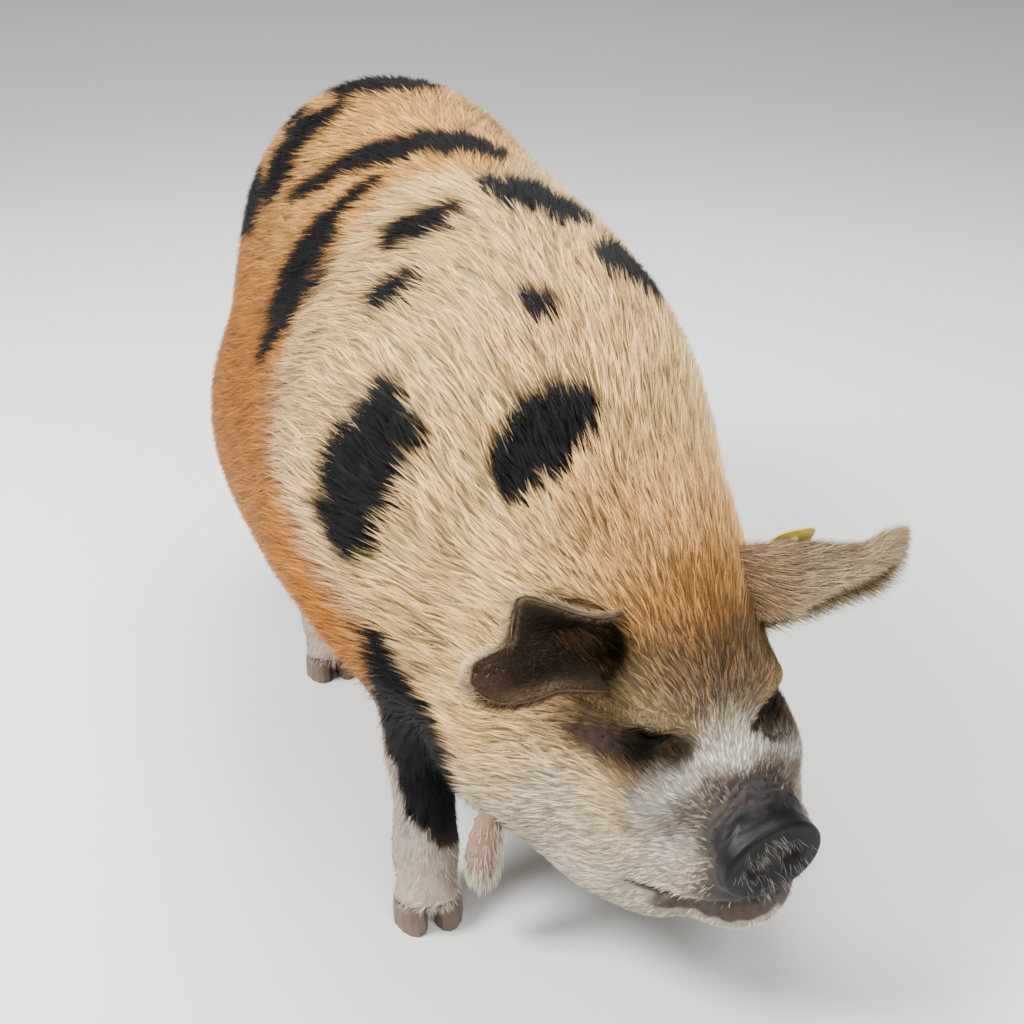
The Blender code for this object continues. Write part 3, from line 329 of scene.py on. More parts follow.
def right_cup(q):
    """The room inside the right ear, that the neck's flesh keeps clear of."""
    return chain(q * vec(-1, 1, 1), [vec(*p) for p in EAR_CUP], EAR_CUP_WIDE)


def limb_form(p, name):
    joints = LEGS[name]
    thick = FRONT_THICK if name.startswith("front") else HIND_THICK
    d = None
    for i in range(len(joints) - 1):
        bone = taper(p, joints[i], joints[i + 1], thick[i], thick[i + 1])
        d = bone if d is None else join(bone, d, 0.02)
    foot = vec(*joints[-1]) + vec(0, -0.006, -0.002)
    return join(ellipsoid(p, foot, (FOOT_WIDE, FOOT_LONG, FOOT_TALL)), d, 0.015)


HEAD_LOW, HEAD_HIGH = head_point(0, 0.04, -0.04) - 0.27, head_point(0, 0.04, -0.04) + 0.27


def whole_form(p):
    """The whole pig but for its ears, tail and hooves, out to the tips of its coat."""
    d = join(neck_form(p), trunk_form(p), TRUNK_BLEND)
    d = join(near(p, HEAD_LOW, HEAD_HIGH, head_form), d, 0.05)
    held = ((p > HEAD_LOW) & (p < HEAD_HIGH)).all(1)
    if held.any():
        d[held] = ear_hollows(p[held], d[held])
    soft = LEG_BLEND * np.clip((p[:, 2] - 0.13) / 0.09, 0.06, 1.0)
    for name, joints in LEGS.items():
        places = np.array(joints)
        limb = near(p, places.min(0) - 0.15, places.max(0) + 0.15, lambda q: limb_form(q, name))
        d = join(limb, d, soft)
    return d


# Places that the photo shows, found on the pig by a ray from the camera

def camera_axes():
    a, t = math.radians(CAMERA_HEADING), math.radians(CAMERA_DOWN)
    ahead = vec(math.sin(a) * math.cos(t), math.cos(a) * math.cos(t), -math.sin(t))
    right = vec(math.cos(a), -math.sin(a), 0)
    return ahead, right, np.cross(right, ahead)


def seen_at(pixels):
    """Where the rays through some pixels of the photo meet the pig, or pass it closest."""
    ahead, right, up = camera_axes()
    pixels = np.asarray(pixels, float)
    x, y = ((pixels - IMAGE / 2) / FOCAL).T
    rays = unit(ahead + np.outer(x, right) - np.outer(y, up))
    reach = np.full(len(rays), RAY_START)
    best, closest = reach.copy(), np.full(len(rays), np.inf)
    for _ in range(RAY_STEPS):
        d = whole_form(vec(*CAMERA_AT) + rays * reach[:, None])
        better = d < closest
        closest, best = np.where(better, d, closest), np.where(better, reach, best)
        ahead_to = np.minimum(reach + np.maximum(d, RAY_CLOSE) * 0.8, RAY_END)
        reach = np.where(closest < RAY_CLOSE, reach, ahead_to)
    return vec(*CAMERA_AT) + rays * best[:, None]


# The skin

COAT_THIN, COAT_DEEPER = 0.0018, 0.0050       # on the face and feet, and what the trunk adds


def coat_depth(p):
    """How deep the coat is: thin on the face and feet."""
    q = on_head(p)
    back = ease(q[:, 1], -0.02, 0.16)
    high = ease(p[:, 2], 0.06, 0.24)
    return COAT_THIN + COAT_DEEPER * back * high


TAIL_ROOT_GUESS = vec(0.006, 0.62, 0.50)
TAIL_BENDS = ((0, -0.014, 0.006), (0.0, 0.024, -0.012), (-0.012, 0.034, -0.070), (-0.006, 0.026, -0.130),
              (0.012, 0.020, -0.185))
TAIL_THICK = (0.0155, 0.0145, 0.0105, 0.0085, 0.0035)


def tail_form(p):
    return chain(p, tail_line, TAIL_THICK)


def smooth_path(corners, n):
    """n points on a smooth curve through a few corners."""
    pts = [np.asarray(c, float) for c in corners]
    pts = [2 * pts[0] - pts[1]] + pts + [2 * pts[-1] - pts[-2]]
    out = []
    spans = len(pts) - 3
    for i in range(n):
        u = i / (n - 1) * spans
        k = min(int(u), spans - 1)
        t = u - k
        a, b, c, d = pts[k:k + 4]
        out.append(0.5 * (2 * b + (c - a) * t + (2 * a - 5 * b + 4 * c - d) * t ** 2
                          + (3 * b - a - 3 * c + d) * t ** 3))
    return np.array(out)


def slope(form, points):
    step = 1e-4
    f = form(points)
    return f, np.stack([form(points + step * np.eye(3)[k]) - f for k in range(3)], 1) / step


def press(form, points, height, rounds=2):
    """Moves points to a height over a form's surface."""
    for _ in range(rounds):
        f, grad = slope(form, points)
        points = points + ((height - f) / np.maximum((grad ** 2).sum(1), 0.2))[:, None] * grad
    return points


tail_root = press(whole_form, TAIL_ROOT_GUESS[None], 0.0, 6)[0]
tail_line = smooth_path([tail_root + vec(*bend) for bend in TAIL_BENDS], 5)

# By pixels of the photo: where the ginger of the hindquarters starts, and the soft crease where the
# shoulder's fat meets the flank
GINGER_BORDER = ((480, 158), (420, 182), (372, 205), (340, 245), (305, 300), (278, 370), (272, 440),
                 (290, 520), (330, 600))
FLANK_CREASE = ((352, 215), (300, 290), (272, 370), (268, 440), (290, 520), (330, 600))
crease_right = seen_at(FLANK_CREASE)
ginger_from = seen_at(GINGER_BORDER)
ginger_from = ginger_from[np.argsort(ginger_from[:, 2])]
crease_left = crease_right * vec(-1, 1, 1) + vec(2 * BARREL_AT[0], 0, 0)

mouth_half = [vec(*p) for p in MOUTH]
mouth_corners = [p * vec(-1, 1, 1) for p in mouth_half[:-1]] + [mouth_half[-1]] + mouth_half[-2::-1]
mouth_line = smooth_path([head_point(*p) for p in mouth_corners], 13)
mouth_line = on_head(press(whole_form, mouth_line, 0.0, 4))


def eye_look(side):
    """The eye's own axes on the head: across, ahead and up."""
    look = unit(vec(side * 0.62, -0.78, 0.02))
    across = unit(np.cross(look, vec(0, 0, 1)))
    return across, look, np.cross(across, look)


# Small forms of the face. Folds have a depth and a spacing or width; the eye has a sunk pocket, an opening
# between the lids and a thin gap round its ball
SNOUT_FOLDS, EYE_FOLDS, CHEEK_FOLDS = (0.0017, 0.0088), (0.0014, 0.0080), (0.0032, 0.0075)
SLIT_DEEP, BROW_FOLD_DEEP, SLIT_WIDE = 0.0040, 0.0035, 0.0055
EYE_POCKET, EYE_OPENING, EYE_GAP = (0.0200, 0.0110, 0.0115), (0.0125, 0.0140, 0.0066), 0.0005
MOUTH_WIDE = 0.0011
CREASE_DEEP, CREASE_WIDE = 0.0075, 0.024


def face_detail(q, d):
    """Folds, lids, mouth and nostrils, on the head's axes."""
    disc_y = DISC_AT[1]
    waver = 0.0035 * ripple(q, 0.030, 51) + 0.0015 * ripple(q, 0.010, 52)
    on_top = np.exp(-((q[:, 1] - disc_y - 0.027) / 0.016) ** 2) * np.exp(-(q[:, 0] / 0.046) ** 4)
    on_top = on_top * ease(q[:, 2], -0.110, -0.060)
    bend = q[:, 1] + 4.0 * q[:, 0] ** 2 + waver
    d = d + SNOUT_FOLDS[0] * on_top * np.sin(bend * 2 * math.pi / SNOUT_FOLDS[1])
    for side in (-1, 1):
        eye = from_eye(q, side)
        off = np.sqrt((eye ** 2).sum(1))
        ring = np.exp(-((off - 0.030) / 0.010) ** 2) * ease(side * q[:, 0] - 0.6 * q[:, 2], 0.020, 0.050)
        d = d + EYE_FOLDS[0] * ring * np.sin((off + 0.5 * waver) * 2 * math.pi / EYE_FOLDS[1])
        bag = off_line(q, [on_side(place, side) for place in CHEEK_FOLD])
        d = d + CHEEK_FOLDS[0] * np.exp(-(bag / CHEEK_FOLDS[1]) ** 2)
        across, look, up = eye_look(side)
        axes = np.stack([across, look, up], 1)
        opening = (eye - look * EYE_RADIUS * 1.25) @ axes
        d = carve(d, ellipsoid(opening, (-side * 0.002, 0.003, -0.002), EYE_POCKET), 0.005)
        d = carve(d, ellipsoid(opening, (0, 0, 0), EYE_OPENING), 0.0015)
        d = carve(d, off - EYE_RADIUS - EYE_GAP, 0.0008)
        tilt = turn_matrix(8, 0, side * 18)
        nostril = (q - vec(side * NOSTRIL_OUT, disc_y - 0.012, DISC_AT[2] - 0.002)) @ tilt
        d = carve(d, ellipsoid(nostril, (0, 0, 0), NOSTRIL), 0.002)
    for line, deep in ((left_slit, SLIT_DEEP), (brow_fold, BROW_FOLD_DEEP),
                       (brow_fold * vec(-1, 1, 1), BROW_FOLD_DEEP)):
        d = d + deep * np.exp(-(off_line(q, line) / SLIT_WIDE) ** 2)
    groove = chain(q, mouth_line, [MOUTH_WIDE] * len(mouth_line))
    return carve(d, groove, 0.0025)


def base_form(p):
    """The skin without its small folds and ears: what the coat is laid on."""
    return whole_form(p) + coat_depth(p)


def skin_form(p):
    d = base_form(p)
    for line in (crease_right, crease_left):
        off = near(p, line.min(0) - 0.09, line.max(0) + 0.09, lambda q: off_line(q, line), 1.0)
        d = d + CREASE_DEEP * np.exp(-(off / CREASE_WIDE) ** 2)
    d = join(near(p, tail_line.min(0) - 0.05, tail_line.max(0) + 0.05, tail_form), d, 0.012)
    held = ((p > HEAD_LOW) & (p < HEAD_HIGH)).all(1)
    if held.any():
        d[held] = face_detail(on_head(p[held]), d[held])
    for joints in LEGS.values():
        x, y, _ = joints[-1]
        foot_y = y - 0.006
        hairline = HOOF_TALL - HOOF_HEEL_DROP * (p[:, 1] - foot_y + HOOF_LONG / 2) / HOOF_LONG
        beside = (np.abs(p[:, 0] - x) < 0.06) & (np.abs(p[:, 1] - y) < 0.08) & (p[:, 2] < 0.08)
        d[beside] = np.maximum(d[beside], (hairline - p[:, 2] + 0.001)[beside])
    return d


# Ears

def ear_net(word, n=41, m=30):
    """A leaf arched across through three lines that run from its root to its tip, and its inner way out."""
    first, middle, last = (smooth_path([head_point(*p) for p in line], n) for line in EARS[word])
    t = np.linspace(-1, 1, m + 1)[None, :, None]
    a, b, c = (line[:, None] for line in (first, middle, last))
    net = b + t * (c - a) / 2 + t * t * ((a + c) / 2 - b)
    normal = unit(np.cross(np.gradient(net, axis=0), np.gradient(net, axis=1)))
    inner = normal if word == "right" else -normal
    along = np.linspace(0, 1, n)[:, None, None]
    ridge = np.sin(t * 7.0 + 1.2 * np.sin(along * 5.0)) * (1 - np.abs(t)) * np.sin(along * math.pi)
    return net + inner * ridge * 0.0012, inner


def make_ear(word):
    """An ear as a closed leaf: its places and quads, the cup's side first."""
    net, inner = ear_nets[word]
    n, m = net.shape[:2]
    edge = np.abs(np.linspace(-1, 1, m))[None, :, None]
    along = np.linspace(0, 1, n)[:, None, None]
    half = EAR_HALF * (1.25 - 0.5 * along) * (1 - 0.45 * edge ** 4)
    points = np.concatenate([(net + inner * half).reshape(-1, 3), (net - inner * half).reshape(-1, 3)])
    front = net_quads(n, m)
    back = front[:, ::-1] + n * m
    rim = [i * m for i in range(n)] + [(n - 1) * m + j for j in range(1, m)]
    rim += [i * m + m - 1 for i in range(n - 2, -1, -1)] + [j for j in range(m - 2, 0, -1)]
    rim = np.array(rim)
    follow = np.roll(rim, -1)
    wall = np.stack([rim, rim + n * m, follow + n * m, follow], 1)
    quads = np.concatenate([front, back, wall])
    if word == "left":
        quads = quads[:, ::-1]
    return points, quads


def ear_skin_colour(word):
    """An ear's skin: dark inside its cup, with painted shade deep in the right ear's cup, brown with pale
    edges outside.
    """
    net, _ = ear_nets[word]
    n, m = net.shape[:2]
    edge = np.tile(np.abs(np.linspace(-1, 1, m))[None, :], (n, 1)).ravel()
    along = np.tile(np.linspace(0, 1, n)[:, None], (1, m)).ravel()
    places = net.reshape(-1, 3)
    # The right ear's cup is painted darker than the left's: a painted shade deep in the cup
    deep = EAR_DARK_AND_PAINTED_SHADE if word == "right" else EAR_LOBE
    inside = between(deep, EAR_LOBE, ease(along, 0.45, 0.85))
    inside = mix(inside, EAR_BROWN, (0.30 if word == "right" else 0.75) * ease(edge, 0.60, 1.0))
    outside = np.tile(EAR_BROWN * 0.6, (n * m, 1))
    inside = inside * (1 + 0.12 * ripple(places, 0.02, 41))[:, None]
    return np.concatenate([inside, outside])


def net_quads(n, m):
    """Quads of a net of n rows of m points."""
    i, j = np.meshgrid(np.arange(n - 1), np.arange(m - 1), indexing="ij")
    a = (i * m + j).ravel()
    return np.stack([a, a + 1, a + m + 1, a + m], 1)


ear_nets = {word: ear_net(word) for word in EARS}


# From a form to a mesh

def surface_net(values, axes):
    """Quads on the zero surface of a form that is sampled on a grid."""
    inside = values < 0
    shape = tuple(n - 1 for n in values.shape)
    count = np.zeros(int(np.prod(shape)), np.float32)
    total = np.zeros((len(count), 3), np.float32)
    quads = []
    for axis in range(3):
        low, high = [slice(None)] * 3, [slice(None)] * 3
        low[axis], high[axis] = slice(0, -1), slice(1, None)
        a, b = values[tuple(low)], values[tuple(high)]
        cross = inside[tuple(low)] != inside[tuple(high)]
        index = np.argwhere(cross)
        va, vb = a[cross], b[cross]
        points = np.stack([axes[k][index[:, k]] for k in range(3)], 1)
        points[:, axis] += va / (va - vb) * (axes[axis][index[:, axis] + 1] - points[:, axis])
        u, v = (axis + 1) % 3, (axis + 2) % 3
        corners = []
        for du, dv in ((-1, -1), (0, -1), (0, 0), (-1, 0)):
            cell = index.copy()
            cell[:, u] += du
            cell[:, v] += dv
            flat = np.ravel_multi_index(cell.T, shape)
            np.add.at(count, flat, 1)
            np.add.at(total, flat, points)
            corners.append(flat)
        quad = np.stack(corners, 1)
        turned = va > 0
        quad[turned] = quad[turned][:, ::-1]
        quads.append(quad)
    quads = np.concatenate(quads)
    used = np.unique(quads)
    number = np.full(len(count), -1)
    number[used] = np.arange(len(used))
    return total[used] / count[used, None], number[quads]


def settle(points, quads, form, rounds):
    """Evens the mesh out and puts each point back on the surface."""
    ring = np.concatenate([quads[:, [k, (k + 1) % 4]] for k in range(4)])
    n = len(points)
    count = np.bincount(ring.ravel(), minlength=n)
    for _ in range(rounds):
        total = np.zeros((n, 3))
        for k in range(3):
            total[:, k] = np.bincount(ring[:, 0], weights=points[ring[:, 1], k], minlength=n)
            total[:, k] += np.bincount(ring[:, 1], weights=points[ring[:, 0], k], minlength=n)
        points = points + 0.5 * (total / count[:, None] - points)
        points = press(form, points, 0.0, 2)
    return points


def lines_of(*stretches):
    """Grid lines from stretches of (start, step), each up to the next one's start."""
    lines = []
    for (start, step), (end, _) in zip(stretches, stretches[1:]):
        count = max(1, round((end - start) / step))
        lines += [start + (end - start) * i / count for i in range(count)]
    return np.array(lines + [stretches[-1][0]])


# Finest over the face, fine over the ears and feet, coarse over the trunk
SKIN_LINES = (
    lines_of((-0.345, 0.009), (-0.165, 0.0046), (0.020, 0.0026), (0.190, 0.0046), (0.365, 0)),
    lines_of((-0.660, 0.0046), (-0.628, 0.0026), (-0.460, 0.0040), (-0.375, 0.010), (0.695, 0)),
    lines_of((-0.030, 0.005), (0.100, 0.0026), (0.285, 0.0042), (0.405, 0.009), (0.745, 0)),
)


def sampled(form, axes):
    """A form's values on a grid, worked out in full only near its surface."""
    steps = 4
    index = [np.minimum((np.arange(len(line)) + steps // 2) // steps * steps, len(line) - 1) for line in axes]
    coarse = [np.unique(i) for i in index]
    grid = np.stack(np.meshgrid(*[line[c] for line, c in zip(axes, coarse)], indexing="ij"), -1)
    rough = form(grid.reshape(-1, 3)).reshape(grid.shape[:3])
    pick = [np.searchsorted(c, i) for c, i in zip(coarse, index)]
    values = rough[np.ix_(*pick)]
    off = [np.abs(line - line[i]) for line, i in zip(axes, index)]
    reach = np.sqrt(off[0][:, None, None] ** 2 + off[1][None, :, None] ** 2 + off[2][None, None, :] ** 2)
    where = np.argwhere(np.abs(values) < 1.5 * reach + 0.006)
    places = np.stack([line[where[:, k]] for k, line in enumerate(axes)], 1)
    values[tuple(where.T)] = form(places)
    return values


# Objects

def put(name, points, faces, material, smooth=True):
    """A mesh object from arrays; faces all have as many corners as each other."""
    points = np.asarray(points, float) + SHIFT
    faces = np.asarray(faces, np.int32)
    corners = faces.shape[1]
    mesh = bpy.data.meshes.new(name)
    mesh.vertices.add(len(points))
    mesh.vertices.foreach_set("co", points.astype(np.float32).ravel())
    mesh.loops.add(faces.size)
    mesh.loops.foreach_set("vertex_index", faces.ravel())
    mesh.polygons.add(len(faces))
    mesh.polygons.foreach_set("loop_start", np.arange(0, faces.size, corners, dtype=np.int32))
    mesh.update(calc_edges=True)
    if smooth:
        mesh.shade_smooth()
    if material:
        mesh.materials.append(material)
    obj = bpy.data.objects.new(name, mesh)
    bpy.context.scene.collection.objects.link(obj)
    return obj


def places_of(mesh):
    """A mesh's points in the pig's own frame."""
    co = np.zeros(len(mesh.vertices) * 3, np.float32)
    mesh.vertices.foreach_get("co", co)
    return co.reshape(-1, 3).astype(float) - SHIFT


def corners_of(mesh):
    """A triangle mesh's faces."""
    index = np.zeros(len(mesh.loops), np.int32)
    mesh.loops.foreach_get("vertex_index", index)
    return index.reshape(-1, 3)


def set_colour(mesh, name, colour):
    layer = mesh.attributes.new(name, "FLOAT_COLOR", "POINT")
    full = np.ones((len(colour), 4), np.float32)
    full[:, :3] = colour
    layer.data.foreach_set("color", full.ravel())


def set_value(mesh, name, value):
    mesh.attributes.new(name, "FLOAT", "POINT").data.foreach_set("value", np.asarray(value, np.float32))


def evaluated(obj):
    """Puts an object's modifiers into its mesh."""
    depsgraph = bpy.context.evaluated_depsgraph_get()
    mesh = bpy.data.meshes.new_from_object(obj.evaluated_get(depsgraph), depsgraph=depsgraph)
    old = obj.data
    obj.modifiers.clear()
    obj.data = mesh
    mesh.name = obj.name
    bpy.data.meshes.remove(old)


def triangulated(mesh):
    bm = bmesh.new()
    bm.from_mesh(mesh)
    bmesh.ops.triangulate(bm, faces=bm.faces[:])
    bm.to_mesh(mesh)
    bm.free()


def thinned(obj, count):
    """Brings a mesh down to a number of triangles."""
    triangulated(obj.data)
    if len(obj.data.polygons) > count:
        thin = obj.modifiers.new("thin", "DECIMATE")
        thin.ratio = count / len(obj.data.polygons)
        evaluated(obj)
        triangulated(obj.data)


# Colours, as seen in even light

def tint(red, green, blue):
    """A colour given as the eye sees it, from 0 to 255, in linear light."""
    c = vec(red, green, blue) / 255
    return np.where(c <= 0.04045, c / 12.92, ((c + 0.055) / 1.055) ** 2.4)


STRAW = tint(230, 198, 138)
PAINTED_TOP_LIGHT = tint(252, 230, 170)
GOLD = tint(232, 176, 92)
GINGER = tint(188, 112, 10)
RUST = tint(146, 88, 32)
HONEY = tint(190, 138, 72)
CHALK = tint(236, 230, 218)
BROW_BROWN = tint(106, 89, 68)
MUZZLE_BROWN = tint(92, 80, 70)
BROW_DARK = tint(62, 48, 32)
JAW_YELLOW = tint(196, 176, 118)
EAR_BROWN = tint(126, 102, 76)
EAR_GREY = tint(196, 184, 166)
EAR_DARK_AND_PAINTED_SHADE = tint(40, 33, 26)
EAR_LOBE = tint(76, 56, 43)
BLACK = tint(14, 13, 15)
PINK = tint(205, 160, 142)
MUD_PINK = tint(66, 48, 44)
FOLD_BROWN = tint(50, 36, 32)
LID_DARK_AND_PAINTED_SHADE = tint(34, 27, 25)
SNOUT_GREY = tint(52, 46, 46)
SNOUT_BLACK = tint(5, 5, 6)
LIP_BROWN = tint(60, 46, 38)
HORN_DARK, HORN_LIGHT = tint(62, 50, 42), tint(122, 102, 84)
EYE_DARK, EYE_BROWN = tint(18, 12, 10), tint(58, 36, 22)
WATTLE_DARK, WATTLE_PINK = tint(112, 82, 68), tint(160, 126, 106)
TAG_YELLOW, TAG_PALE = tint(196, 172, 62), tint(224, 204, 96)
FLOOR_PALE = (0.74, 0.74, 0.73)

# Coloured places on the head: a pixel of the photo, how far the colour reaches, the colour and its share
HEAD_SPOTS_SEEN = (
    (625, 480, 0.050, HONEY, 0.30), (640, 550, 0.055, HONEY, 0.50), (700, 575, 0.030, GINGER, 0.25),
    (600, 520, 0.040, HONEY, 0.22), (628, 600, 0.030, HONEY, 0.50), (662, 600, 0.026, RUST, 0.30),
    (650, 630, 0.028, GINGER, 0.35), (700, 630, 0.034, RUST, 0.50), (690, 648, 0.020, GINGER, 0.40),
    (745, 640, 0.026, BROW_BROWN, 0.70),
    (560, 715, 0.028, BROW_BROWN, 0.50), (595, 690, 0.030, BROW_DARK, 0.85),
    (622, 655, 0.024, BROW_DARK, 0.80), (645, 700, 0.020, BROW_DARK, 0.50),
    (695, 690, 0.032, BROW_BROWN, 0.85), (735, 675, 0.024, BROW_BROWN, 0.80),
    (745, 755, 0.027, CHALK, 0.95), (700, 768, 0.020, CHALK, 0.80), (782, 735, 0.018, CHALK, 0.90),
    (655, 800, 0.030, CHALK, 0.85), (668, 845, 0.026, CHALK, 0.80), (690, 790, 0.018, CHALK, 0.70),
    (550, 800, 0.040, CHALK, 0.35),
    (628, 778, 0.014, HONEY, 0.50), (600, 865, 0.026, JAW_YELLOW, 0.60), (640, 885, 0.016, JAW_YELLOW, 0.60),
    # Round the eyes: the lids' own dark skin, and painted shade of the pockets under the brows
    (652, 742, 0.0225, LID_DARK_AND_PAINTED_SHADE, 1.00), (620, 743, 0.0160, FOLD_BROWN, 0.97),
    (600, 742, 0.0170, FOLD_BROWN, 0.97), (578, 733, 0.0150, FOLD_BROWN, 0.85),
    (672, 752, 0.0120, LID_DARK_AND_PAINTED_SHADE, 0.60), (634, 760, 0.0120, FOLD_BROWN, 0.60),
    (692, 812, 0.016, MUZZLE_BROWN, 0.75), (676, 830, 0.016, MUZZLE_BROWN, 0.45),
    (700, 850, 0.012, MUZZLE_BROWN, 0.70), (735, 786, 0.014, MUZZLE_BROWN, 0.90),
    (712, 788, 0.014, MUZZLE_BROWN, 0.85), (764, 782, 0.012, MUZZLE_BROWN, 0.80),
    (768, 708, 0.0120, LID_DARK_AND_PAINTED_SHADE, 0.90),
)


# Black markings: names, with the pixels of the photo that each runs through and its half width there
MARKS_SEEN = {
    "shoulder": ((392, 398, 15), (386, 430, 27), (362, 468, 33), (352, 505, 27), (359, 542, 15)),
    "neck": ((577, 405, 20), (552, 430, 31), (524, 468, 25), (514, 495, 12)),
    "withers spot": ((532, 298, 9), (541, 306, 13)),
    "small oblong": ((411, 270, 5), (393, 290, 12), (377, 300, 8)),
    "oblong": ((464, 212, 7), (430, 222, 12), (393, 240, 8)),
    "back band": ((490, 187, 7), (532, 200, 11), (580, 218, 8)),
    "left back band": ((606, 252, 9), (634, 271, 13), (662, 294, 7)),
    "back stripe": ((294, 198, 4), (344, 168, 9), (402, 150, 10), (456, 144, 8), (500, 156, 5)),
    "flank stripe": ((378, 181, 4), (337, 221, 9), (310, 258, 18), (291, 308, 13), (272, 354, 6)),
    "rump patch": ((252, 168, 9), (250, 200, 12), (244, 226, 8)),
    "rump stripe": ((349, 105, 4), (316, 124, 7), (288, 156, 9), (268, 196, 5)),
    "rump fleck": ((304, 112, 4), (292, 134, 4)),
    "rump top": ((338, 88, 7), (382, 78, 12), (432, 80, 8)),
    "foreleg": ((378, 638, 9), (394, 690, 17), (415, 742, 23), (434, 800, 21), (447, 832, 11)),
}
# Markings that the photo hides: a guess, by places on the pig, each with its radius
MARKS_GUESSED = {
    "left shoulder": ((0.22, -0.10, 0.44, 0.030), (0.24, -0.05, 0.38, 0.036), (0.25, -0.03, 0.32, 0.022)),
    "left flank": ((0.20, 0.16, 0.52, 0.016), (0.24, 0.19, 0.43, 0.024), (0.26, 0.22, 0.34, 0.014)),
    "left ham": ((0.20, 0.42, 0.44, 0.020), (0.20, 0.46, 0.37, 0.030)),
    "left rump stripe": ((0.06, 0.50, 0.62, 0.012), (0.13, 0.50, 0.56, 0.018), (0.18, 0.48, 0.50, 0.011)),
    "right ham": ((-0.19, 0.46, 0.42, 0.020), (-0.17, 0.51, 0.35, 0.026)),
    "behind": ((0.02, 0.60, 0.56, 0.018), (-0.05, 0.58, 0.50, 0.022)),
}


MARK_REACH = 0.085           # how far from a seen marking's places its rays may still paint
MARK_SWELL, MARK_EDGE = 1.28, 2.0       # the hair's ragged edge eats into a marking, so it is laid wider


def laid_marks():
    """Each marking's places on the pig, its pixels if the photo shows it, and its radii.

    The radii are in pixels where there are pixels, and in metres where there are none.
    """
    laid = []
    for dots in MARKS_SEEN.values():
        dots = np.array(dots, float)
        laid.append((seen_at(dots[:, :2]), dots[:, :2], dots[:, 2] * MARK_SWELL + MARK_EDGE))
    for dots in MARKS_GUESSED.values():
        dots = np.array(dots, float)
        laid.append((press(whole_form, dots[:, :3], 0.0, 5), None, dots[:, 3]))
    return laid


MARKS = laid_marks()


def black_share(p):
    """How black the coat is: ragged patches, drawn out along the lie of the hair."""
    pixels, away = seen_pixels(p)
    off = np.full(len(p), 1.0)
    for places, dots, radii in MARKS:
        low, high = places.min(0) - MARK_REACH, places.max(0) + MARK_REACH
        held = ((p > low) & (p < high)).all(1)
        if not held.any():
            continue
        if dots is None:
            found = chain(p[held], places, radii)
        else:
            found = chain(pixels[held], dots, radii) * away[held] / FOCAL
            found[off_line(p[held], places) > MARK_REACH] = 1.0
        off[held] = np.minimum(off[held], found)
    drawn = p * vec(1.0, 0.5, 0.8)
    rough = 0.0030 * ripple(drawn, 0.034, 3) + 0.0024 * ripple(drawn, 0.012, 4)
    rough = rough + 0.0016 * ripple(drawn, 0.005, 5)
    return 1 - ease(off + rough, -0.003, 0.003)


def mix(colour, other, share):
    share = np.clip(share, 0, 1)[:, None]
    return colour * (1 - share) + other * share


def between(colour, other, shares):
    """Colours from one plain colour to another, one for each share."""
    return mix(np.tile(colour, (len(shares), 1)), other, shares)


def spot(q, centre, radii):
    """1 at a centre, fading to 0 past its radii."""
    return np.exp(-(((q - vec(*centre)) / vec(*radii)) ** 2).sum(1))


def hair_colour(p):
    """The coat's colours, from the trunk to the face, with painted light on the top of the back."""
    q = on_head(p)
    # Paler toward the top of the back, behind the shoulders: painted light from above
    colour = between(STRAW, PAINTED_TOP_LIGHT, 0.7 * ease(p[:, 2], 0.42, 0.58) * ease(p[:, 1], -0.14, 0.10))
    border = np.interp(p[:, 2], ginger_from[:, 2], ginger_from[:, 1]) + 0.020 * ripple(p, 0.12, 8)
    hidden = ease(p[:, 0], 0.00, 0.15)
    border = border + hidden * (0.16 + 0.050 * ripple(p, 0.070, 9))
    hind = ease(p[:, 1] - border, -0.012 - 0.060 * hidden, 0.030 + 0.090 * hidden)
    hind = hind * (1 - hidden * (0.42 + 0.16 * ripple(p, 0.055, 10)))
    ginger = between(GINGER, GOLD, 0.85 * ease(p[:, 2], 0.46, 0.62))
    colour = colour + (ginger - colour) * (0.92 * hind)[:, None]
    colour = mix(colour, HONEY, 0.30 * spot(p, (0.03, -0.24, 0.54), (0.09, 0.14, 0.10)))
    for place, wide, other, share in HEAD_SPOTS:
        for middle in (place, place * vec(-1, 1, 1)):
            fade = np.exp(-((q - middle) ** 2).sum(1) / wide ** 2)
            colour = mix(colour, other, share * np.minimum(1.35 * fade, 1))
    colour = mix(colour, CHALK, 0.75 * (1 - ease(p[:, 2], 0.10, 0.24)))
    for line in (crease_right, crease_left):
        colour = mix(colour, CHALK, 0.22 * np.exp(-(off_line(p, line[2:]) / 0.020) ** 2))
    for side in (-1, 1):
        hollow = q - on_side(EAR_HOLLOW_AT, side)
        inside = np.minimum(np.sqrt((hollow ** 2).sum(1)) - 0.030, right_cup(q))
        colour = mix(colour, EAR_BROWN, 0.97 * (1 - ease(inside, 0.002, 0.014)))
    colour = colour * (1 + 0.08 * ripple(p, 0.045, 6) + 0.06 * ripple(p, 0.012, 7))[:, None]
    return mix(colour, BLACK, black_share(p))


def found_spots():
    """The head's coloured places on its own axes, from the pixels where the photo shows them."""
    spots = []
    for x, y, wide, other, share in HEAD_SPOTS_SEEN:
        place = on_head(seen_at([(x, y)]))[0]
        spots.append((place, wide, other, share))
    return spots


HEAD_SPOTS = found_spots()
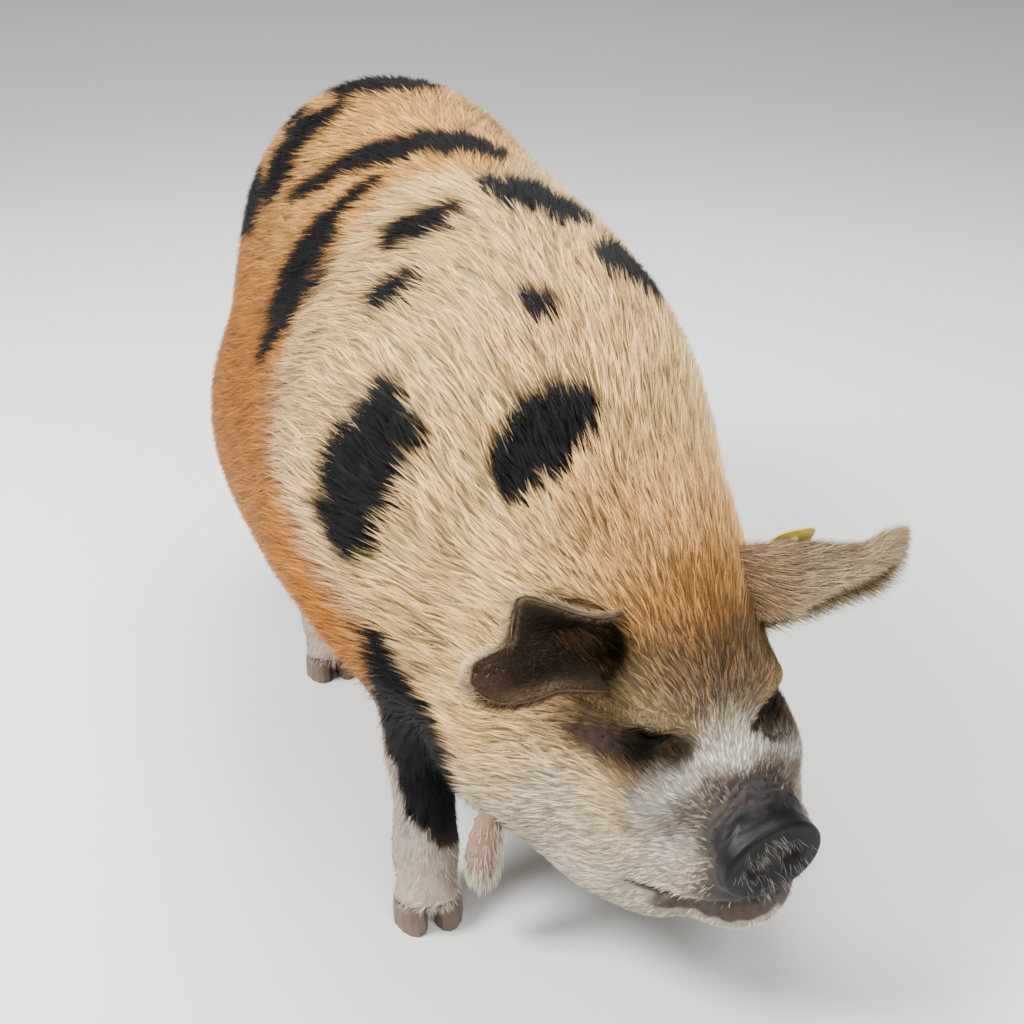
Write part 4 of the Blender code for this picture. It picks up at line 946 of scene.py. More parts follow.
# Lines of the face, by pixels of the photo
EYE_FOLD_SEEN = ((574, 731), (590, 737), (606, 741), (624, 743))
FOLD_WIDE = (0.0060, 0.0105, 0.0125, 0.0105)
BROW_FOLD_SEEN = ((572, 724), (590, 728), (610, 731), (630, 730), (648, 727))
LEFT_SLIT_SEEN = ((777, 691), (769, 704), (762, 717), (756, 729))
BROW_LINE_SEEN = ((588, 694), (612, 706), (634, 714), (652, 719), (668, 724))
eye_fold = on_head(seen_at(EYE_FOLD_SEEN))
left_slit = on_head(seen_at(LEFT_SLIT_SEEN))
brow_line = on_head(seen_at(BROW_LINE_SEEN))
brow_fold = on_head(seen_at(BROW_FOLD_SEEN))


SLIT_HALF = [0.0055] * len(left_slit)


def lip_share(q):
    """1 on the bare lower lip, under the line of the mouth."""
    off = off_line(q, mouth_line)
    line_z = np.interp(np.abs(q[:, 0]), np.abs(mouth_line[:7, 0])[::-1], mouth_line[:7, 2][::-1])
    under = 1 - ease(q[:, 2] - line_z, -0.002, 0.002)
    ahead = 1 - ease(q[:, 1] + 0.004 * ripple(q, 0.012, 66), -0.060, -0.046)
    return under * ahead * (1 - ease(off + 0.004 * ripple(q, 0.02, 61), 0.016, 0.022))


def snout_reach(q):
    """How far behind a place the bare skin of the snout ends: far on its top, near the disc at its sides."""
    reach = 0.010 + 0.021 * ease(q[:, 2], -0.078, -0.046)
    return DISC_AT[1] + reach - q[:, 1] + 0.0022 * ripple(q, 0.026, 62) + 0.0024 * ripple(q, 0.005, 63)


def eye_dark(q):
    """1 on the dark skin of the lids and of the folds that run from them."""
    dark = np.zeros(len(q))
    for side in (-1, 1):
        eye = from_eye(q, side) * vec(1.0, 0.8, 1.25)
        dark = np.maximum(dark, 1 - ease(np.sqrt((eye ** 2).sum(1)), 0.0170, 0.0215))
        fold = chain(q, eye_fold * vec(-side, 1, 1), FOLD_WIDE) + 0.0015 * ripple(q, 0.009, 67)
        dark = np.maximum(dark, 0.72 - 0.72 * ease(fold, -0.005, 0.006))
    slit = chain(q, left_slit, SLIT_HALF)
    return np.maximum(dark, 1 - ease(slit, -0.001, 0.004))


def over_chin(q):
    """1 over the chin, 0 on it and under it."""
    return ease(q[:, 2], -0.124, -0.112)


def bare_share(q):
    """Where the skin of the face is bare: snout, lids, lips and the folds outside the eyes."""
    bare = ease(snout_reach(q), -0.012, 0.010) * over_chin(q)
    bare = np.maximum(bare, 0.93 * eye_dark(q))
    lips = off_line(q, mouth_line)
    bare = np.maximum(bare, 1 - ease(lips, 0.0020, 0.0045))
    return np.maximum(bare, 0.95 * lip_share(q))


PAINTED_SHADE_UNDER_HAIR = 0.34            # how bright the skin under the coat is beside the coat: painted shade between the hairs


def skin_colour(p):
    """Skin with the coat's markings on it, darkened as painted shade under the coat, and the bare skin's own
    colours, with painted shade round the eyes.
    """
    q = on_head(p)
    # Under the coat the skin takes the hair's colour, darkened as painted shade between the hairs
    colour = hair_colour(p) * PAINTED_SHADE_UNDER_HAIR
    bare = bare_share(q)
    skin = between(MUD_PINK, LIP_BROWN, lip_share(q))
    lips = off_line(q, mouth_line)
    skin = mix(skin, SNOUT_BLACK, 0.7 * (1 - ease(lips, 0.002, 0.006)))
    reach = snout_reach(q)
    above = over_chin(q)
    near_snout = ease(reach, -0.020, 0.000) * above
    skin = mix(skin, SNOUT_GREY, near_snout)
    black = (0.35 + 0.65 * ease(reach, 0.006, 0.026)) * ease(reach, -0.004, 0.010) * above
    skin = mix(skin, SNOUT_BLACK, black)
    # Round the eyes and along the left eye's slit: the lids' dark skin and painted shade of the pocket under
    # the brow, black at the lids' edges
    slit = chain(q, left_slit, SLIT_HALF)
    skin = mix(skin, LID_DARK_AND_PAINTED_SHADE, 1 - ease(slit, 0.000, 0.006))
    for side in (-1, 1):
        off = np.sqrt((from_eye(q, side) ** 2).sum(1))
        skin = mix(skin, LID_DARK_AND_PAINTED_SHADE, 1 - ease(off, 0.0210, 0.0270))
        skin = mix(skin, SNOUT_BLACK, 0.85 * (1 - ease(off, 0.0140, 0.0190)))
    under = np.maximum(bare, 0.9 * near_snout)
    colour = mix(colour, skin * (1 + 0.25 * ripple(q, 0.006, 65))[:, None], under)
    low = 1 - ease(p[:, 2], 0.03, 0.10)
    return mix(colour, PINK, 0.20 * low)


# Materials

def material(name, roughness, specular=0.4):
    """A new material, its node tree and its shader."""
    made = bpy.data.materials.new(name)
    made.use_nodes = True
    shader = made.node_tree.nodes["Principled BSDF"]
    shader.inputs["Roughness"].default_value = roughness
    shader.inputs["Specular IOR Level"].default_value = specular
    return made, made.node_tree, shader


def node(tree, kind, **settings):
    made = tree.nodes.new(kind)
    for key, value in settings.items():
        if key in made.inputs:
            made.inputs[key].default_value = value
        else:
            setattr(made, key, value)
    return made


def laid(tree, texture):
    """Lays a texture on the object's own coordinates."""
    place = node(tree, "ShaderNodeTexCoord")
    tree.links.new(place.outputs["Object"], texture.inputs["Vector"])
    return texture


def object_noise(tree, scale, detail=4.0):
    """Noise of so many waves in a metre."""
    noise = node(tree, "ShaderNodeTexNoise", Scale=scale, Detail=detail, Roughness=0.55)
    return laid(tree, noise).outputs["Fac"]


def mottled(tree, shader, dark, light, scale, detail=4.0):
    """Colours a material between two tints by noise."""
    ramp = node(tree, "ShaderNodeValToRGB")
    ramp.color_ramp.elements[0].color = (*dark, 1)
    ramp.color_ramp.elements[1].color = (*light, 1)
    tree.links.new(object_noise(tree, scale, detail), ramp.inputs["Fac"])
    tree.links.new(ramp.outputs["Color"], shader.inputs["Base Color"])


def bump(tree, shader, height, strength, distance, below=None):
    made = node(tree, "ShaderNodeBump", Strength=strength, Distance=distance)
    tree.links.new(height, made.inputs["Height"])
    if below:
        tree.links.new(below.outputs["Normal"], made.inputs["Normal"])
    tree.links.new(made.outputs["Normal"], shader.inputs["Normal"])
    return made


def coat_hair():
    made, tree, shader = material("coat hair", 0.62, 0.14)
    colour = node(tree, "ShaderNodeAttribute", attribute_name="coat_colour")
    tree.links.new(colour.outputs["Color"], shader.inputs["Base Color"])
    return made


def pig_skin():
    made, tree, shader = material("pig skin", 0.6, 0.22)
    colour = node(tree, "ShaderNodeAttribute", attribute_name="skin_colour")
    spread = node(tree, "ShaderNodeMix", data_type="RGBA", blend_type="MULTIPLY")
    spread.inputs[0].default_value = 0.5
    shade = node(tree, "ShaderNodeMapRange")
    shade.inputs["To Min"].default_value = 0.55
    shade.inputs["To Max"].default_value = 1.35
    tree.links.new(object_noise(tree, 420.0, 5.0), shade.inputs["Value"])
    tree.links.new(colour.outputs["Color"], spread.inputs[6])
    tree.links.new(shade.outputs["Result"], spread.inputs[7])
    tree.links.new(spread.outputs[2], shader.inputs["Base Color"])
    wet = node(tree, "ShaderNodeAttribute", attribute_name="moist")
    rough = node(tree, "ShaderNodeMapRange")
    rough.inputs["To Min"].default_value = 0.72
    rough.inputs["To Max"].default_value = 0.44
    tree.links.new(wet.outputs["Fac"], rough.inputs["Value"])
    tree.links.new(rough.outputs["Result"], shader.inputs["Roughness"])
    coarse = bump(tree, shader, object_noise(tree, 900.0, 3.0), 0.35, 0.0006)
    cells = laid(tree, node(tree, "ShaderNodeTexVoronoi", feature="DISTANCE_TO_EDGE", Scale=420.0))
    bump(tree, shader, cells.outputs["Distance"], 0.30, 0.0008, coarse)
    return made


def hoof_horn():
    made, tree, shader = material("hoof horn", 0.42, 0.45)
    mottled(tree, shader, HORN_DARK, HORN_LIGHT, 90.0, 5.0)
    wave = laid(tree, node(tree, "ShaderNodeTexWave", bands_direction="Z", Scale=160.0, Distortion=1.6))
    bump(tree, shader, wave.outputs["Fac"], 0.4, 0.0006)
    return made


def eye_gloss():
    made, tree, shader = material("dark eye", 0.06, 0.6)
    mottled(tree, shader, EYE_DARK, EYE_BROWN, 500.0)
    return made


def wattle_skin():
    made, tree, shader = material("wattle skin", 0.55, 0.35)
    shader.inputs["Subsurface Weight"].default_value = 0.05
    shader.inputs["Subsurface Radius"].default_value = (0.006, 0.002, 0.001)
    mottled(tree, shader, WATTLE_DARK, WATTLE_PINK, 160.0, 5.0)
    bump(tree, shader, object_noise(tree, 800.0), 0.4, 0.0006)
    return made


def tag_plastic():
    made, tree, shader = material("tag plastic", 0.42, 0.5)
    mottled(tree, shader, TAG_YELLOW, TAG_PALE, 240.0)
    bump(tree, shader, object_noise(tree, 1500.0), 0.2, 0.0002)
    return made


def floor_finish():
    made, _, shader = material("pale floor", 0.85, 0.2)
    shader.inputs["Base Color"].default_value = (*FLOOR_PALE, 1)
    return made


# The skin as one piece

def make_skin():
    """The flesh and both ears as one mesh; the ears' leaves are sunk into the head at their roots.

    Gives the skin, its places and faces, and how many of the faces are flesh, which come first.
    """
    values = sampled(skin_form, SKIN_LINES)
    points, quads = surface_net(values, SKIN_LINES)
    points = settle(points.astype(float), quads, skin_form, 2)
    flesh = put("flesh", points, quads, None)
    thinned(flesh, SKIN_TRIANGLES)
    places, faces = places_of(flesh.data), corners_of(flesh.data)
    flesh_count = len(faces)
    drop(flesh)
    colour = skin_colour(places)
    q = on_head(places)
    across, tall = q[:, 0] / DISC_WIDE, (q[:, 2] - DISC_AT[2]) / DISC_TALL
    rim = np.exp(-((np.sqrt(across ** 2 + tall ** 2) - 0.98) / 0.14) ** 2)
    moist = ease(-q[:, 1], 0.060, 0.090) * (0.25 + 0.75 * rim) * (np.abs(q[:, 0]) < 0.06)
    for word in EARS:
        leaf, leaf_quads = make_ear(word)
        triangles = np.concatenate([leaf_quads[:, [0, 1, 2]], leaf_quads[:, [0, 2, 3]]])
        faces = np.concatenate([faces, triangles + len(places)])
        places = np.concatenate([places, leaf])
        colour = np.concatenate([colour, ear_skin_colour(word)])
        moist = np.concatenate([moist, np.zeros(len(leaf))])
    skin = put("skin", places, faces, pig_skin())
    set_colour(skin.data, "skin_colour", colour)
    set_value(skin.data, "moist", moist)
    return skin, places, faces, flesh_count


def drop(obj):
    mesh = obj.data
    bpy.data.objects.remove(obj)
    bpy.data.meshes.remove(mesh)


# The unwrap of the skin that the coat's tufts are laid out on

def unwrapped(skin):
    """A coarse copy of the skin with its own unwrap: places, faces, UVs of the corners and a search tree."""
    flat = skin.copy()
    flat.data = skin.data.copy()
    bpy.context.scene.collection.objects.link(flat)
    thinned(flat, UNWRAP_TRIANGLES)
    for obj in bpy.context.selected_objects:
        obj.select_set(False)
    flat.select_set(True)
    bpy.context.view_layer.objects.active = flat
    bpy.ops.object.mode_set(mode="EDIT")
    bpy.ops.mesh.select_all(action="SELECT")
    bpy.ops.uv.smart_project(angle_limit=math.radians(60), island_margin=0.004)
    bpy.ops.object.mode_set(mode="OBJECT")
    mesh = flat.data
    uv = np.zeros(len(mesh.loops) * 2, np.float32)
    mesh.uv_layers.active.data.foreach_get("uv", uv)
    places, faces = places_of(mesh), corners_of(mesh)
    uv = uv.reshape(-1, 3, 2)
    tree = BVHTree.FromPolygons(places.tolist(), faces.tolist())
    drop(flat)
    return places, faces, uv, tree


def uv_of(roots, chart):
    """Where some places of the skin lie on its unwrap."""
    places, faces, uv, tree = chart
    found = [tree.find_nearest(p) for p in roots.tolist()]
    index = np.array([f[2] for f in found])
    spots = np.array([f[0][:] for f in found])
    a, b, c = (places[faces[index, k]] for k in range(3))
    u, v, w = b - a, c - a, spots - a
    uu, uv2, vv = (u * u).sum(1), (u * v).sum(1), (v * v).sum(1)
    wu, wv = (w * u).sum(1), (w * v).sum(1)
    low = np.maximum(uu * vv - uv2 ** 2, 1e-18)
    s, t = (vv * wu - uv2 * wv) / low, (uu * wv - uv2 * wu) / low
    first, second, third = (uv[index][:, k] for k in range(3))
    return first + s[:, None] * (second - first) + t[:, None] * (third - first)


# Tufts

PATCH = 0.003                # how wide a tuft's patch on the unwrap is
# A hair is painted darker at its root, a painted shade between the hairs, and lighter at its tip, a painted
# light
PAINTED_ROOT_SHADE, PAINTED_TIP_LIGHT = 0.42, 1.28
BLADE_THICK = 0.35           # a hair's thickness beside its width
COAT_LOCKS, LOCK_HAIRS = 13500, 3           # in each piece of the coat, and in each lock
HAIR_CLEAR = 0.0020          # least height of a hair's tip above the floor
# Hairs on each brow, on each wattle, on the tail and tried on the snout, of which some are left out
BROW_HAIRS, WATTLE_HAIRS, TAIL_HAIRS, SNOUT_HAIRS = 900, 560, 1500, 900
LOOSE_WIDE, TAIL_WIDE, BRISTLE_WIDE = 0.0008, 0.0016, 0.00030
ROOT_SUNK = 0.0010           # how deep a hair's root sits in the skin
# Hair of an ear: how many, how long, how far it fans out, which way it leans and how pale it is
EAR_HAIR = {
    "back": (8300, 0.017, 0.9, 0.10, 0.62),
    "cup": (4600, 0.0110, 1.2, 0.16, 0.25),
    "edge": (3200, 0.0085, 2.2, 0.16, 0.80),
}


def tuft_mesh(name, rows, across, out, wide, thick, colour, uv, finish):
    """Joined tufts: each is a flat three-sided blade along its row of places, ending in a point.

    rows has the places of each tuft, wide and thick its sizes at all of them but the tip.
    """
    n, count = rows.shape[0], rows.shape[1]
    rings = count - 1
    corners = []
    for k in range(rings):
        half = across[:, k] * (wide[:, k] / 2)[:, None]
        corners += [rows[:, k] - half, rows[:, k] + half, rows[:, k] + out[:, k] * thick[:, k][:, None]]
    corners.append(rows[:, -1])
    per = 3 * rings + 1
    points = np.stack(corners, 1).reshape(-1, 3)
    faces = [(0, 1, 2)]
    for k in range(rings - 1):
        for a, b in ((1, 0), (2, 1), (0, 2)):
            low_a, low_b = 3 * k + a, 3 * k + b
            faces += [(low_a, low_b, low_b + 3), (low_a, low_b + 3, low_a + 3)]
    last = 3 * (rings - 1)
    faces += [(last + 1, last, per - 1), (last + 2, last + 1, per - 1), (last, last + 2, per - 1)]
    faces = np.array(faces)
    every = (np.arange(n)[:, None, None] * per + faces[None]).reshape(-1, 3)
    obj = put(name, points, every, finish)
    mesh = obj.data
    # Each hair's colour runs from painted shade at its root to painted light at its tip
    shade = np.repeat(np.linspace(PAINTED_ROOT_SHADE, 1.0, rings)[:, None], 3, 1).ravel()
    shade = np.append(shade, PAINTED_TIP_LIGHT)
    set_colour(mesh, "coat_colour", (colour[:, None, :] * shade[None, :, None]).reshape(-1, 3))
    offsets = []
    for k in range(rings):
        y = -PATCH / 2 + PATCH * k / rings
        offsets += [(-PATCH / 2, y), (PATCH / 2, y), (0, y)]
    offsets.append((0, PATCH / 2))
    spots = (uv[:, None] + np.array(offsets)[None]).reshape(-1, 2)
    layer = mesh.uv_layers.new(name="OFBake")
    layer.data.foreach_set("uv", spots[every.ravel()].astype(np.float32).ravel())
    return obj


def blades(name, rows, way, out, broad, colour, chart, finish):
    """Tufts from rows of places, widest near the middle of their length."""
    count = rows.shape[1] - 1
    swell = np.interp(np.linspace(0, 1, count, endpoint=False), (0, 0.35, 0.7, 1), (0.75, 1.0, 0.75, 0.3))
    across = np.repeat(unit(np.cross(way, out))[:, None], count, 1)
    outs = np.repeat(out[:, None], count, 1)
    wide = broad[:, None] * swell[None]
    uv = uv_of(rows[:, 0], chart)
    return tuft_mesh(name, rows, across, outs, wide, wide * BLADE_THICK, colour, uv, finish)


def way_out(points):
    """The way straight out of the skin, small folds left out."""
    _, grad = slope(base_form, points)
    return unit(grad)


def round_ways(count):
    """Level ways, drawn all round."""
    turn = RNG.uniform(0, 2 * math.pi, count)
    return np.stack([np.cos(turn), np.sin(turn), np.zeros(count)], 1)


COAT_FROM = (0, -0.115, -0.060)              # the place on the snout that the hair runs away from
COAT_FALL, LEG_FALL = 0.85, (0.0, 0.18, -1.0)     # how much it hangs on the trunk, its way on the legs
SWAY_WIDE, SWAY_NARROW = (0.070, 0.16), (0.018, 0.14)      # size and share of the hair's wandering


def lie_of_coat(p, out):
    """The way the hair lies: from the snout backwards, down the flanks and down the legs."""
    way = unit(p - head_point(*COAT_FROM))
    trunk = ease(p[:, 1], -0.40, -0.15)
    fall = vec(0, 0, -1) + out * out[:, 2:]
    fall = fall / (0.22 + np.linalg.norm(fall, axis=1, keepdims=True))
    way = way + fall * (COAT_FALL * trunk)[:, None]
    limb = 1 - ease(p[:, 2], 0.15, 0.27)
    away = ease(p[:, 1], -0.42, -0.36)
    way = way * (1 - limb * away)[:, None] + vec(*LEG_FALL) * (limb * away)[:, None]
    sway = ripples(p, SWAY_WIDE[0], 21) * SWAY_WIDE[1]
    sway += ripples(p, SWAY_NARROW[0], 31) * SWAY_NARROW[1]
    way = way + sway
    way = way - out * (way * out).sum(1)[:, None]
    return unit(way)


# Lengths of hair: on the snout, what the face and the nape add, on the feet, what the shanks and the body
# add, and what the crest adds; round the eyes the hair is this much shorter
HAIR_SNOUT, HAIR_FACE, HAIR_NAPE = 0.0060, 0.0115, 0.0125
HAIR_FOOT, HAIR_SHANK, HAIR_BODY, HAIR_CREST = 0.007, 0.006, 0.020, 0.014
HAIR_EYE_CUT, HAIR_EYE_REACH = 0.55, 0.024


def hair_length(p):
    """Shortest on the snout and round the eyes, short on the feet, longest on the crest of the head."""
    q = on_head(p)
    face = HAIR_SNOUT + HAIR_FACE * ease(q[:, 1], -0.085, 0.030) + HAIR_NAPE * ease(q[:, 1], 0.030, 0.150)
    limb = HAIR_FOOT + HAIR_SHANK * ease(p[:, 2], 0.020, 0.055) + HAIR_BODY * ease(p[:, 2], 0.06, 0.26)
    crest = HAIR_CREST * spot(q, (0.0, 0.095, 0.095), (0.065, 0.090, 0.065))
    for side in (-1, 1):
        for place in (eye_fold[2] * vec(-side, 1, 1), vec(side * EYE_OUT, EYE_BACK - 0.010, -0.002)):
            face = face * (1 - HAIR_EYE_CUT * np.exp(-((q - place) ** 2).sum(1) / HAIR_EYE_REACH ** 2))
    return np.minimum(face + crest, limb)


def scattered(weights, count):
    """Numbers of faces, drawn evenly by weight in the order of the mesh."""
    total = np.cumsum(weights)
    draws = (np.arange(count) + RNG.uniform(size=count)) / count * total[-1]
    return np.minimum(np.searchsorted(total, draws), len(weights) - 1)


# How much locks, and hairs within a lock, differ: shares of the usual length, strays to the side, and tone
LOCK_LONG, LOCK_ASKEW, LOCK_TONE = (0.75, 1.30), 0.13, 0.30
HAIR_LONG, HAIR_ASKEW, HAIR_TONE = (0.75, 1.12), 0.0006, 0.20
HAIR_THIN, HAIR_WIDER = 0.0005, 0.025        # a hair's width, and what each metre of its length adds


def grow(name, skin_places, skin_faces, chart, weights, locks, finish):
    """Grows one piece of the coat on the skin's faces: locks of fine hairs, each lock with its own tone, and
    darker the lower it lies, as painted shade.
    """
    index = scattered(weights, locks)
    a, b, c = (skin_places[skin_faces[index, k]] for k in range(3))
    s, t = RNG.uniform(size=locks), RNG.uniform(size=locks)
    over = s + t > 1
    s[over], t[over] = 1 - s[over], 1 - t[over]
    middle = a + s[:, None] * (b - a) + t[:, None] * (c - a)
    out = way_out(middle)
    way = lie_of_coat(middle, out)
    side = unit(np.cross(way, out))
    usual = hair_length(middle)
    lift = RNG.uniform(size=locks)
    long = usual * RNG.uniform(*LOCK_LONG, locks)
    depth = coat_depth(middle) * (0.20 + 0.90 * lift) + 0.0011
    aim = (way + side * RNG.normal(0, LOCK_ASKEW, locks)[:, None]) * long[:, None]
    lock_tip = press(base_form, middle + aim, depth, 2)
    face = 1 - ease(on_head(middle)[:, 1], 0.02, 0.10)
    # A lock's tone differs at random, and the lower a lock lies the darker it is painted: a painted shade
    # under the locks above it
    tone_and_painted_shade = np.exp(RNG.normal(0, LOCK_TONE, locks) * (1 + 0.35 * face)) * (0.62 + 0.60 * lift)
    colour = hair_colour(middle + way * (long * 0.45)[:, None])
    golden = ease(colour[:, 0] - 2.4 * colour[:, 2], 0.10, 0.35)
    pale = colour.sum(1) > 0.2
    colour = mix(colour, HONEY, np.clip(RNG.normal(0.06, 0.20, locks), 0, 0.6) * pale)
    warm = RNG.normal(0.0, 0.10, locks) + golden * (0.9 * RNG.uniform(size=locks) - 0.35)
    colour = mix(colour, RUST, np.clip(warm, 0, 0.6) * pale) * np.clip(tone_and_painted_shade, 0.35, 1.6)[:, None]
    of = np.repeat(np.arange(locks), LOCK_HAIRS)
    count = len(of)
    across = RNG.normal(0, 1, count) * (0.0003 + 0.022 * usual[of])
    ahead = RNG.uniform(-0.30, 0.30, count) * long[of]
    roots = middle[of] + side[of] * across[:, None] + way[of] * ahead[:, None]
    spread = across * 0.5 + RNG.normal(0, HAIR_ASKEW, count)
    reach = RNG.uniform(*HAIR_LONG, count)
    tip = roots + (lock_tip[of] + side[of] * spread[:, None] - roots) * reach[:, None]
    tip[:, 2] = np.maximum(tip[:, 2], HAIR_CLEAR - SHIFT[2])
    rows = np.stack([roots - out[of] * ROOT_SUNK, tip], 1)
    broad = HAIR_THIN + HAIR_WIDER * usual[of] * RNG.uniform(0.6, 1.3, count)
    colour = colour[of] * np.exp(RNG.normal(0, HAIR_TONE, count))[:, None]
    return blades(name, rows, unit(tip - roots), out[of], broad, colour, chart, finish)


def on_net(net, u, v):
    """Places on a net at shares u of its rows and v of its points, by straight steps between them."""
    n, m = net.shape[:2]
    i = np.minimum((u * (n - 1)).astype(int), n - 2)
    j = np.minimum((v * (m - 1)).astype(int), m - 2)
    s, t = (u * (n - 1) - i)[:, None], (v * (m - 1) - j)[:, None]
    low = net[i, j] * (1 - t) + net[i, j + 1] * t
    high = net[i + 1, j] * (1 - t) + net[i + 1, j + 1] * t
    return low * (1 - s) + high * s


def ear_hair(word, chart, finish):
    """Shaggy hair on the back of an ear, thin dark hair in its cup, and a fringe along its edges."""
    net, inner = ear_nets[word]
    ahead, over = np.gradient(net, axis=0), np.gradient(net, axis=1)
    groups = []
    for place, (count, usual, fanned, lean, pale) in EAR_HAIR.items():
        u = RNG.uniform(0.0, 0.985, count)
        v = RNG.uniform(0.0, 1.0, count)
        if place == "edge":
            near_first = RNG.uniform(size=count) < 0.5
            v = np.where(near_first, RNG.uniform(0, 0.03, count), RNG.uniform(0.97, 1, count))
            tip = RNG.uniform(size=count) < 0.14
            u = np.where(tip, 0.98, u)
            v = np.where(tip, RNG.uniform(0, 1, count), v)
        roots = on_net(net, u, v)
        along, outward = unit(on_net(ahead, u, v)), unit(on_net(over, u, v))
        faced = np.where(RNG.uniform(size=count) < 0.45, 1.0, -1.0)[:, None]
        out = unit(on_net(inner, u, v)) * {"cup": 1.0, "back": -1.0, "edge": faced}[place]
        fan = (v - 0.5)[:, None]
        way = unit(along + outward * fan * fanned + out * lean + RNG.normal(0, 0.17, (count, 3)))
        long = usual * RNG.uniform(0.6, 1.3, count)
        long = long * (1 - 0.45 * ease(u, 0.80, 1.0))
        low_edge = ease(v, 0.6, 0.9)
        if place == "edge" and word == "left":
            long = long * (1 + 0.9 * low_edge)
        if place == "cup":
            long = long * (1 - 0.5 * ease(u, 0.45, 0.75))
        dark = between(EAR_BROWN, EAR_DARK_AND_PAINTED_SHADE, 0.6 * RNG.uniform(size=count))
        light = between(EAR_GREY, STRAW, RNG.uniform(size=count))
        # The right ear's cup and edge hair are darker than the left ear's: painted shade in the cup
        if word == "right" and place != "back":
            light = light * 0.42
        share = pale + (0.30 if place == "back" else 0.0) * np.abs(2 * v - 1) ** 2
        if word == "right":
            share = share * (1 - 0.8 * low_edge)
        colour = mix(dark, light, share + RNG.uniform(-0.3, 0.25, count))
        if place == "cup":
            colour = colour * 0.75
        if place == "back":
            colour = mix(colour, GINGER, 0.30 * ease(-u, -0.35, -0.05))
        lift = 0.0014 + 0.0022 * RNG.uniform(size=count)
        start = roots + out * EAR_HALF * 0.5
        tip = start + way * long[:, None] + out * lift[:, None]
        rows = np.stack([start - along * 0.0006, tip], 1)
        colour = colour * np.exp(RNG.normal(0, 0.28, count))[:, None]
        groups.append((rows, way, out, 0.0004 + 0.036 * long, colour))
    rows, way, out, broad, colour = (np.concatenate([g[k] for g in groups]) for k in range(5))
    return blades(f"{word}_ear_hair", rows, way, out, broad, colour, chart, finish)


def brow_hair(chart, hair):
    """Longer hair from the brows that hangs over the eyes."""
    pieces = []
    for side in (-1, 1):
        line = smooth_path([place * vec(-side, 1, 1) for place in brow_line], 40)
        count = BROW_HAIRS
        t = RNG.uniform(0, 1, count)
        spots = line[(t * (len(line) - 1)).astype(int)] + RNG.normal(0, 0.0035, (count, 3))
        roots = press(skin_form, in_pig(spots), 0.0, 3)
        out = way_out(roots)
        aim = vec(side * 0.25, -0.30, -0.85) + np.outer(t - 0.5, (side * -0.5, 0, 0))
        way = unit(aim @ HEAD_TURN.T + RNG.normal(0, 0.14, (count, 3)))
        way = unit(way - out * (way * out).sum(1)[:, None] * 0.7)
        pieces.append((roots, way, out))
    roots, way, out = (np.concatenate([piece[k] for piece in pieces]) for k in range(3))
    count = len(roots)
    long = RNG.uniform(0.005, 0.0095, count)
    colour = between(BROW_BROWN, STRAW, RNG.uniform(0.0, 0.45, count))
    colour = colour * RNG.uniform(0.7, 1.15, count)[:, None]
    return hanging("brow_hair", roots, way, out, long, LOOSE_WIDE, colour, chart, hair, 0.25, 0.35, 2)


def hanging(name, roots, way, out, long, broad, colour, chart, finish, sag=0.35, spread=0.5, steps=4):
    """Long loose hair that leaves the skin and bends down under its own weight."""
    rows = []
    for k in range(steps + 1):
        t = k / steps
        fall = vec(0, 0, -1) * sag * t ** 1.6
        aim = unit(way + out * spread * (1 - t) + fall * 2.0)
        rows.append(roots + aim * (long * t)[:, None] - (out * ROOT_SUNK if k == 0 else 0))
    width = np.full(len(roots), broad)
    return blades(name, np.stack(rows, 1), way, out, width, colour, chart, finish)


def tube(path, radii, sides):
    """A closed round tube along a path that ends in a point: places and triangles."""
    path = np.asarray(path)
    ways = unit(np.gradient(path, axis=0))
    points = []
    for place, way, radius in zip(path[:-1], ways[:-1], radii[:-1]):
        first = unit(np.cross(way, vec(0.2, 1, 0.1)))
        second = np.cross(way, first)
        a = np.linspace(0, 2 * math.pi, sides, endpoint=False)[:, None]
        points.append(place + radius * (first * np.cos(a) + second * np.sin(a)))
    points = np.concatenate(points + [path[-1:], path[:1]])
    tip, root = len(points) - 2, len(points) - 1
    faces = []
    for i in range(len(path) - 2):
        for k in range(sides):
            a, b = i * sides + k, i * sides + (k + 1) % sides
            faces += [(a, b, b + sides), (a, b + sides, a + sides)]
    last = (len(path) - 2) * sides
    for k in range(sides):
        faces.append((last + k, last + (k + 1) % sides, tip))
        faces.append(((k + 1) % sides, k, root))
    return points, np.array(faces)


